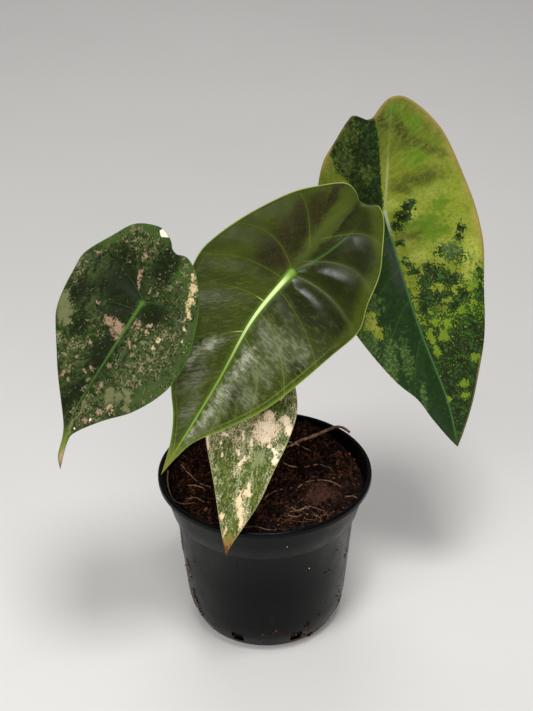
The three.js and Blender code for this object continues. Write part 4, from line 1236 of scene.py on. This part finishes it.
def floor_paper():
    """Paper that the floor is laid with: matt, off white and faintly uneven."""
    material, tree = new_material("pale_floor_paper", gloss=0.2)
    cloudy = object_grain(tree, 400).step(0.4, 0.7, 0, 0.5)
    return finish_skin(material, layered(tree, "#e4e2de", [(cloudy, "#dedcd8")]), 0.8)


# The pot

def extrude_rings(rings):
    """Draws the selected ring on through rings of radius and height about the upright axis."""
    for (radius, height), (next_radius, next_height) in zip(rings, rings[1:]):
        rise = (0, 0, (next_height - height) * MM)
        bpy.ops.mesh.extrude_region_move(TRANSFORM_OT_translate={"value": rise})
        share = next_radius / radius
        bpy.ops.transform.resize(value=(share, share, 1), center_override=(0, 0, next_height * MM))


def make_pot(material):
    """The pot: a moulded wall with a rolled lip, a deep collar, a drained base corner and a foot
    that is recessed inside its ring."""
    lip_inner = RIM_RADIUS - LIP_WIDTH
    roll = LIP_ROLL
    arc = [math.radians(a) for a in (0, 22, 45, 67, 90)]
    lip = [(RIM_RADIUS - 0.5, POT_HEIGHT - LIP_HEIGHT), (RIM_RADIUS, POT_HEIGHT - LIP_HEIGHT + 0.5)]
    for turn in arc:
        lip.append((RIM_RADIUS - roll + roll * math.cos(turn), POT_HEIGHT - roll + roll * math.sin(turn)))
    for turn in arc:
        lip.append((lip_inner + roll - roll * math.sin(turn), POT_HEIGHT - roll + roll * math.cos(turn)))
    inner = [(radius - WALL, max(height, FLOOR_HEIGHT)) for radius, height in reversed(OUTER_WALL)]
    inner = [ring for ring in inner if ring[1] > FLOOR_HEIGHT] + [(inner[-1][0], FLOOR_HEIGHT)]
    rings = [*FOOT, *OUTER_WALL, *lip, *inner, (1, FLOOR_HEIGHT)]
    bpy.ops.mesh.primitive_circle_add(
        vertices=POT_SIDES, radius=rings[0][0] * MM, fill_type="NGON", location=(0, 0, rings[0][1] * MM),
    )
    pot = added("pot_shell")
    edit(pot, "EDGE")
    bpy.ops.mesh.select_all(action="DESELECT")
    leave_edit()
    for line in pot.data.edges:
        line.select = True
    for point in pot.data.vertices:
        point.select = True
    bpy.ops.object.mode_set(mode="EDIT")
    bpy.ops.mesh.extrude_edges_move(TRANSFORM_OT_translate={"value": (0, 0, 0)})
    extrude_rings([rings[0], *rings])
    bpy.ops.mesh.edge_face_add()
    bpy.ops.mesh.select_all(action="SELECT")
    bpy.ops.mesh.remove_doubles(threshold=0.00001)
    bpy.ops.mesh.normals_make_consistent(inside=False)
    leave_edit()
    cut_drains(pot)
    return finish_piece(pot, material, "pot_plastic", "pot", smooth=35)


def cut_drains(pot):
    """Cuts the slots round the base corner."""
    middle = (DRAIN.low + DRAIN.high) / 2
    slots = []
    for i in range(DRAIN.count):
        turn = 2 * math.pi * (i + 0.5) / DRAIN.count
        bpy.ops.mesh.primitive_cube_add(
            size=1,
            location=(DRAIN.radius * math.cos(turn) * MM, DRAIN.radius * math.sin(turn) * MM, middle * MM),
            rotation=(0, 0, turn),
            scale=(DRAIN.depth * MM, DRAIN.width * MM, (DRAIN.high - DRAIN.low) * MM),
        )
        slots.append(bpy.context.object)
    pick(slots[0])
    for slot in slots:
        slot.select_set(True)
    bpy.ops.object.join()
    cutter = added("drain_cutter")
    modify(cutter, "BEVEL", width=DRAIN.corner * MM, segments=3)
    pick(pot)
    modify(pot, "BOOLEAN", operation="DIFFERENCE", solver="EXACT", object=cutter)
    bpy.data.objects.remove(cutter)


# The soil

def heap(x, y, form):
    """How high a rounded heap stands at a point."""
    return form.height * np.exp(-((x - form.x)**2 + (y - form.y)**2) / form.radius**2)


def soil_height(x, y):
    """The even form of the soil: its level, the mound at the crown, the lump in front, and the heap
    against the wall at the back."""
    return SOIL_LEVEL + heap(x, y, SOIL_MOUND) + heap(x, y, SOIL_LUMP) + heap(x, y, SOIL_BACK)


def make_soil_bed(material):
    """The soil plug: a round bed with a crumbly top, and a side that follows the pot's wall."""
    bpy.ops.mesh.primitive_grid_add(x_subdivisions=SOIL_CELLS, y_subdivisions=SOIL_CELLS, size=2)
    bed = added("soil_bed")
    mesh = bed.data
    a, b = places_of(mesh)[:, :2].T
    wide = np.abs(a) > np.abs(b)
    radius = np.where(wide, a, b)
    turn = np.where(
        wide,
        np.pi / 4 * b / np.where(wide, a, 1),
        np.pi / 2 - np.pi / 4 * a / np.where(wide | (b == 0), 1, b),
    )
    x, y = SOIL_BRIM * radius * np.cos(turn), SOIL_BRIM * radius * np.sin(turn)
    lumps = 2.4 * swells(x, y, 7, 1) + 1.8 * swells(x, y, 2.8, 2)
    rough = lumps + 1.1 * np.abs(swells(x, y, 1.2, 3))
    settled = smoothstep(SOIL_BRIM - np.hypot(x, y), 0, 2)
    packed = 1 - 0.6 * heap(x, y, SOIL_LUMP) / SOIL_LUMP.height
    z = soil_height(x, y) + rough * settled * packed - 1.2 * (1 - settled)
    mesh.vertices.foreach_set("co", (np.stack([x, y, z], -1) * MM).ravel())
    keep_attribute(mesh, "clod", heap(x, y, SOIL_LUMP) / SOIL_LUMP.height)
    edit(bed, "EDGE")
    bpy.ops.mesh.select_all(action="DESELECT")
    bpy.ops.mesh.select_non_manifold()
    extrude_rings(SOIL_SIDE)
    bpy.ops.mesh.edge_face_add()
    leave_edit()
    return finish_piece(bed, material, "coir_soil", "soil", smooth=50)


def crumb_shapes(cuts):
    """A few crumbs, each modelled once: the corners of dented balls, and the faces they share."""
    bpy.ops.mesh.primitive_ico_sphere_add(subdivisions=cuts, radius=1)
    ball = bpy.context.object
    corners = [point.co.copy() for point in ball.data.vertices]
    faces = np.array([face.vertices[:] for face in ball.data.polygons])
    bpy.data.objects.remove(ball)
    shapes = []
    for kind in range(6):
        away = Vector((7 * kind, 0, 0))
        dents = [1 + 0.6 * noise.noise(1.2 * p + away) + 0.35 * noise.noise(2.9 * p + away) for p in corners]
        shapes.append(np.array(corners) * np.array(dents)[:, None])
    return shapes, faces


def make_crumbs(name, places, cuts, material):
    """Many crumbs in one piece. Each has a place, half its length, its flatness and its tone."""
    shapes, faces = crumb_shapes(cuts)
    rng = random.Random(name)
    all_corners, all_faces, tones = [], [], []
    for i, (place, size, flatness, tone) in enumerate(places):
        stretch = np.array([1, rng.uniform(0.3, 0.75), flatness]) * size
        turned = np.array(Euler([rng.uniform(0, 6.28) for _ in range(3)]).to_matrix())
        corners = rng.choice(shapes)
        all_corners.append((corners * stretch) @ turned.T + place)
        all_faces.append(faces + i * len(corners))
        tones.append(np.full(len(corners), tone))
    mesh = bpy.data.meshes.new(name)
    mesh.from_pydata(np.vstack(all_corners) * MM, [], np.vstack(all_faces))
    keep_attribute(mesh, "tone", np.concatenate(tones))
    crumbs = bpy.data.objects.new(name, mesh)
    bpy.context.scene.collection.objects.link(crumbs)
    return finish_piece(crumbs, material, "coir_soil", smooth=28)


def scattered_crumbs(count, smallest, largest, seed):
    """Places for crumbs all over the soil, far more of them small than large."""
    rng = random.Random(seed)
    found = []
    while len(found) < count:
        turn, reach = rng.uniform(0, 2 * math.pi), (SOIL_BRIM - 1.5) * math.sqrt(rng.random())
        x, y = reach * math.cos(turn), reach * math.sin(turn)
        if math.hypot(x - CROWN.x, y - CROWN.y) < CROWN.radius:
            continue
        size = smallest + (largest - smallest) * rng.random()**2.6
        if size > 0.8 and heap(x, y, SOIL_LUMP) > 0.45 * SOIL_LUMP.height:
            continue
        z = float(soil_height(x, y)) + rng.uniform(0.1, 0.9) * size + 0.4
        tone = rng.random() * (0.99 if size < 1.3 else 0.8)
        found.append(((x, y, z), size, rng.uniform(0.25, 0.6), tone))
    return found


def on_wall(turn, height, off=0):
    """A point on the pot's outer wall, or off it, at a turn in degrees from +X."""
    reach = float(np.interp(height, [z for _, z in OUTER_WALL], [r for r, _ in OUTER_WALL])) + off
    return reach * math.cos(math.radians(turn)), reach * math.sin(math.radians(turn)), height


def clinging_crumbs(seed):
    """Crumbs that cling to the pot's outer wall: the smears and lumps that the front shows, and a
    thin scatter all round, most of it low down."""
    rng = random.Random(seed)
    found = []
    for turn, height, wide, tall, count, size in POT_DIRT:
        for _ in range(count):
            bit = size * rng.uniform(0.45, 1)
            place = on_wall(turn + rng.gauss(0, wide), max(height + rng.gauss(0, tall), 1), 0.1 * bit)
            found.append((place, bit, rng.uniform(0.4, 0.7), rng.uniform(0.3, 0.97)))
    for _ in range(POT_SCATTER):
        bit = 0.2 + 0.6 * rng.random()**3
        place = on_wall(rng.uniform(0, 360), 3 + 66 * rng.random()**1.6, 0.1 * bit)
        found.append((place, bit, 0.5, rng.uniform(0.1, 0.95)))
    for turn, height in POT_GRAINS:
        found.append((on_wall(turn, height, 0.1), 0.5, 0.7, 1))
    return found


def make_strands(name, strands, material, slot, sides=1):
    """Round strands in one piece. A strand is a list of points and their radii."""
    curve = bpy.data.curves.new(name, "CURVE")
    curve.dimensions = "3D"
    curve.bevel_depth = MM
    curve.bevel_resolution = sides
    curve.use_fill_caps = True
    for points, radii in strands:
        spline = curve.splines.new("POLY")
        spline.points.add(len(points) - 1)
        for spot, point, radius in zip(spline.points, points, radii):
            spot.co = (*(np.array(point) * MM), 1)
            spot.radius = radius
    piece = bpy.data.objects.new(name, curve)
    bpy.context.scene.collection.objects.link(piece)
    pick(piece)
    bpy.ops.object.convert(target="MESH")
    piece.name = name
    return finish_piece(piece, material, slot, smooth=60)


def lying_strand(route, radius, lift=1.1, steps=8):
    """A root that lies on the soil along a route of x and y, and thins towards its end."""
    flat = smooth_line(route, steps)
    heights = soil_height(flat[:, 0], flat[:, 1]) + lift + radius
    ripple = 0.5 * swells(*flat.T, 4, 5)
    heights[0] -= 2
    heights[-1] -= 2
    points = np.column_stack([flat, heights + ripple])
    return points, np.linspace(radius, 0.55 * radius, len(points))


def curled_fibres(count, seed):
    """Short coir fibres at random over the soil, each a gentle curl."""
    rng = random.Random(seed)
    found = []
    for _ in range(count):
        turn, reach = rng.uniform(0, 2 * math.pi), (SOIL_BRIM - 4) * math.sqrt(rng.random())
        x, y = reach * math.cos(turn), reach * math.sin(turn)
        heading, curl = rng.uniform(0, 2 * math.pi), rng.uniform(-0.35, 0.35)
        step = rng.uniform(0.7, 1.6)
        rise = rng.uniform(-0.5, 0.4)
        points = []
        for k in range(8):
            if math.hypot(x, y) > SOIL_BRIM - 1 or heap(x, y, SOIL_LUMP) > 0.4 * SOIL_LUMP.height:
                break
            z = float(soil_height(x, y)) + 0.9 + rise * (k - 3.5) * 0.3 - 0.09 * (k - 3.5)**2
            points.append((x, y, z))
            heading += curl + rng.uniform(-0.25, 0.25)
            x += step * math.cos(heading)
            y += step * math.sin(heading)
        if len(points) > 3:
            radius = rng.uniform(0.1, 0.2)
            found.append((points, [radius] * len(points)))
    return found


def make_roots(root, fibre):
    """The roots that show on the soil and on the pot, and the coir fibres among the crumbs."""
    loose = smooth_line(LOOSE_ROOT, 8)
    uneven = [
        1 + 0.45 * noise.noise((k / 5, 4, 0)) + 0.2 * noise.noise((k / 2, 9, 0))
        for k in range(len(loose))
    ]
    roots = [(loose, np.linspace(1, 0.75, len(loose)) * uneven)]
    roots += [lying_strand(route, radius) for route, radius in SOIL_ROOTS]
    for route, radius in POT_ROOTS:
        turns = smooth_line(route, 5)
        roots.append(([on_wall(turn, height, 0.1) for turn, height in turns], [radius] * len(turns)))
    make_strands("soil_roots", roots, root, "coir_soil", sides=2)
    make_strands("soil_fibres", curled_fibres(SOIL_FIBRES, "fibres"), fibre, "coir_soil", sides=0)


# The stalks and the crown

def stalk_route(leaf, steps=20):
    """A stalk's line, as the solid has it, from its seat in the crown to the back of its blade."""
    axes = blade_frame(leaf)
    turn = math.radians(leaf.seat)
    seat = (
        CROWN.x + STALK_SEAT.radius * math.cos(turn),
        CROWN.y + STALK_SEAT.radius * math.sin(turn),
        STALK_SEAT.height,
    )
    end = axes.joint - axes.up * (SOLID_THICKNESS + leaf.rib_depth + JOINT_GAP)
    points = np.array([seat, *leaf.bends, end - axes.up * STALK_LEAD, end], float)
    padded = np.vstack([2 * points[0] - points[1], points, 2 * points[-1] - points[-2]])
    route = []
    for a, b, c, d in zip(padded, padded[1:], padded[2:], padded[3:]):
        before, here, after = (math.sqrt(math.dist(*pair)) for pair in ((a, b), (b, c), (c, d)))
        start = ((b - a) / before - (c - a) / (before + here) + (c - b) / here) * here
        stop = ((c - b) / here - (d - b) / (here + after) + (d - c) / after) * here
        route.append(stretch_of(b, c, start, stop, steps))
    into_rib = axes.joint - axes.up * (0.5 * SOLID_THICKNESS + 0.5 * leaf.rib_depth)
    return np.vstack([*route, points[-1:], into_rib])


def make_stalk(side, leaf, material):
    """A stalk: round, tapering upwards, and widened at its foot into the sheath that clasps the
    crown, and at its head where it runs into the midrib."""
    route = at_share(stalk_route(leaf), np.linspace(0, 1, STALK_RINGS))
    share = np.linspace(0, 1, len(route))
    low, high = leaf.stalk_radius
    gone = share * np.linalg.norm(np.diff(route, axis=0), axis=1).sum()
    left = gone[-1] - gone
    radii = low + (high - low) * share
    radii += ridge(gone, *STALK_FLARE.foot) + ridge(left, *STALK_FLARE.head)
    return make_strands(f"leaf_stalk_{side}", [(route, radii)], material, "stalk_flesh", sides=6)


def make_crown(material):
    """The crown: a short thick stem, ringed by leaf scars, rounding in towards its top."""
    rings = []
    for height in np.arange(CROWN.low, CROWN.top + 0.1, CROWN.ring_gap):
        share = (height - CROWN.low) / (CROWN.top - CROWN.low)
        body = CROWN.radius * math.sqrt(max(1 - max(share - 0.4, 0)**2 / 0.37, 0.02))
        scar = CROWN.scar_depth * (1 - ((height - CROWN.low) % CROWN.scar_gap) / CROWN.scar_gap)
        rings.append((body + scar, height))
    bpy.ops.mesh.primitive_circle_add(
        vertices=CROWN.sides,
        radius=rings[0][0] * MM,
        fill_type="NOTHING",
        location=(0, 0, rings[0][1] * MM),
    )
    crown = added("crown_stem")
    edit(crown, "EDGE")
    extrude_rings(rings)
    bpy.ops.mesh.edge_face_add()
    leave_edit()
    for point in crown.data.vertices:
        turn = math.atan2(point.co.y, point.co.x)
        uneven = 1 + 0.07 * noise.noise((3 * math.cos(turn), 3 * math.sin(turn), point.co.z / (6 * MM)))
        point.co.x = point.co.x * uneven + CROWN.x * MM
        point.co.y = point.co.y * uneven + CROWN.y * MM
    edit(crown)
    bpy.ops.mesh.normals_make_consistent(inside=False)
    leave_edit()
    return finish_piece(crown, material, "crown_flesh", "crown", smooth=50)


# The studio

def make_studio():
    """A pale floor, soft lights, and the camera at the photograph's viewpoint."""
    bpy.ops.mesh.primitive_plane_add(size=FLOOR.size, location=(0, 0, -FLOOR.drop))
    floor = added("studio_floor")
    floor.data.materials.append(floor_paper())

    for name, place, size, power, mirrored in LIGHTS:
        bpy.ops.object.light_add(type="AREA", location=place)
        lamp = bpy.context.object
        lamp.name = name
        lamp.data.size = size
        lamp.data.energy = power
        lamp.visible_glossy = mirrored
        lamp.rotation_euler = (Vector(LIGHT_AIM) - Vector(place)).to_track_quat("-Z", "Y").to_euler()

    world = bpy.context.scene.world or bpy.data.worlds.new("studio")
    bpy.context.scene.world = world
    world.use_nodes = True
    fill(world.node_tree.nodes["Background"], ROOM_LIGHT)
    bpy.context.scene.view_settings.view_transform = "Standard"

    pitch, roll = math.radians(CAMERA.pitch), math.radians(CAMERA.roll)
    forward = Vector((0, math.cos(pitch), -math.sin(pitch)))
    level, steep = Vector((1, 0, 0)), Vector((0, math.sin(pitch), math.cos(pitch)))
    right = level * math.cos(roll) + steep * math.sin(roll)
    bpy.ops.object.camera_add(location=CAMERA.place)
    camera = bpy.context.object
    camera.name = "photo_camera"
    camera.rotation_euler = Matrix([right, right.cross(forward), -forward]).transposed().to_euler()
    camera.data.lens = CAMERA.lens
    camera.data.sensor_width = 36
    camera.data.clip_start = 0.01
    bpy.context.scene.camera = camera


bpy.ops.object.select_all(action="DESELECT")
make_studio()
make_pot(pot_plastic())
make_soil_bed(coir_soil())
husk = coir_chip()
make_crumbs("soil_chips", scattered_crumbs(*SOIL_CHIPS, "chips"), cuts=2, material=husk)
make_crumbs("soil_crumbs", scattered_crumbs(*SOIL_CRUMBS, "crumbs"), cuts=1, material=husk)
make_crumbs("pot_crumbs", clinging_crumbs("clinging"), cuts=1, material=husk)
make_roots(root_skin("thin_root", "#6a4c3a", "#94745a"), root_skin("coir_fibre", "#472a19", "#754d31"))
make_crown(crown_flesh())
flesh = stalk_flesh()
blades = {
    "left": (speckled_markings, speckled_leaf, "leaf_speckled"),
    "centre": (olive_markings, olive_leaf, "leaf_olive"),
    "right": (lime_markings, lime_leaf, "leaf_lime"),
    "small": (cream_markings, cream_leaf, "leaf_cream"),
}
for side, (markings, skin, slot) in blades.items():
    make_blade(side, LEAVES[side], markings, skin(), slot)
    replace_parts(make_stalk(side, LEAVES[side], flesh), f"stalk_{side}")
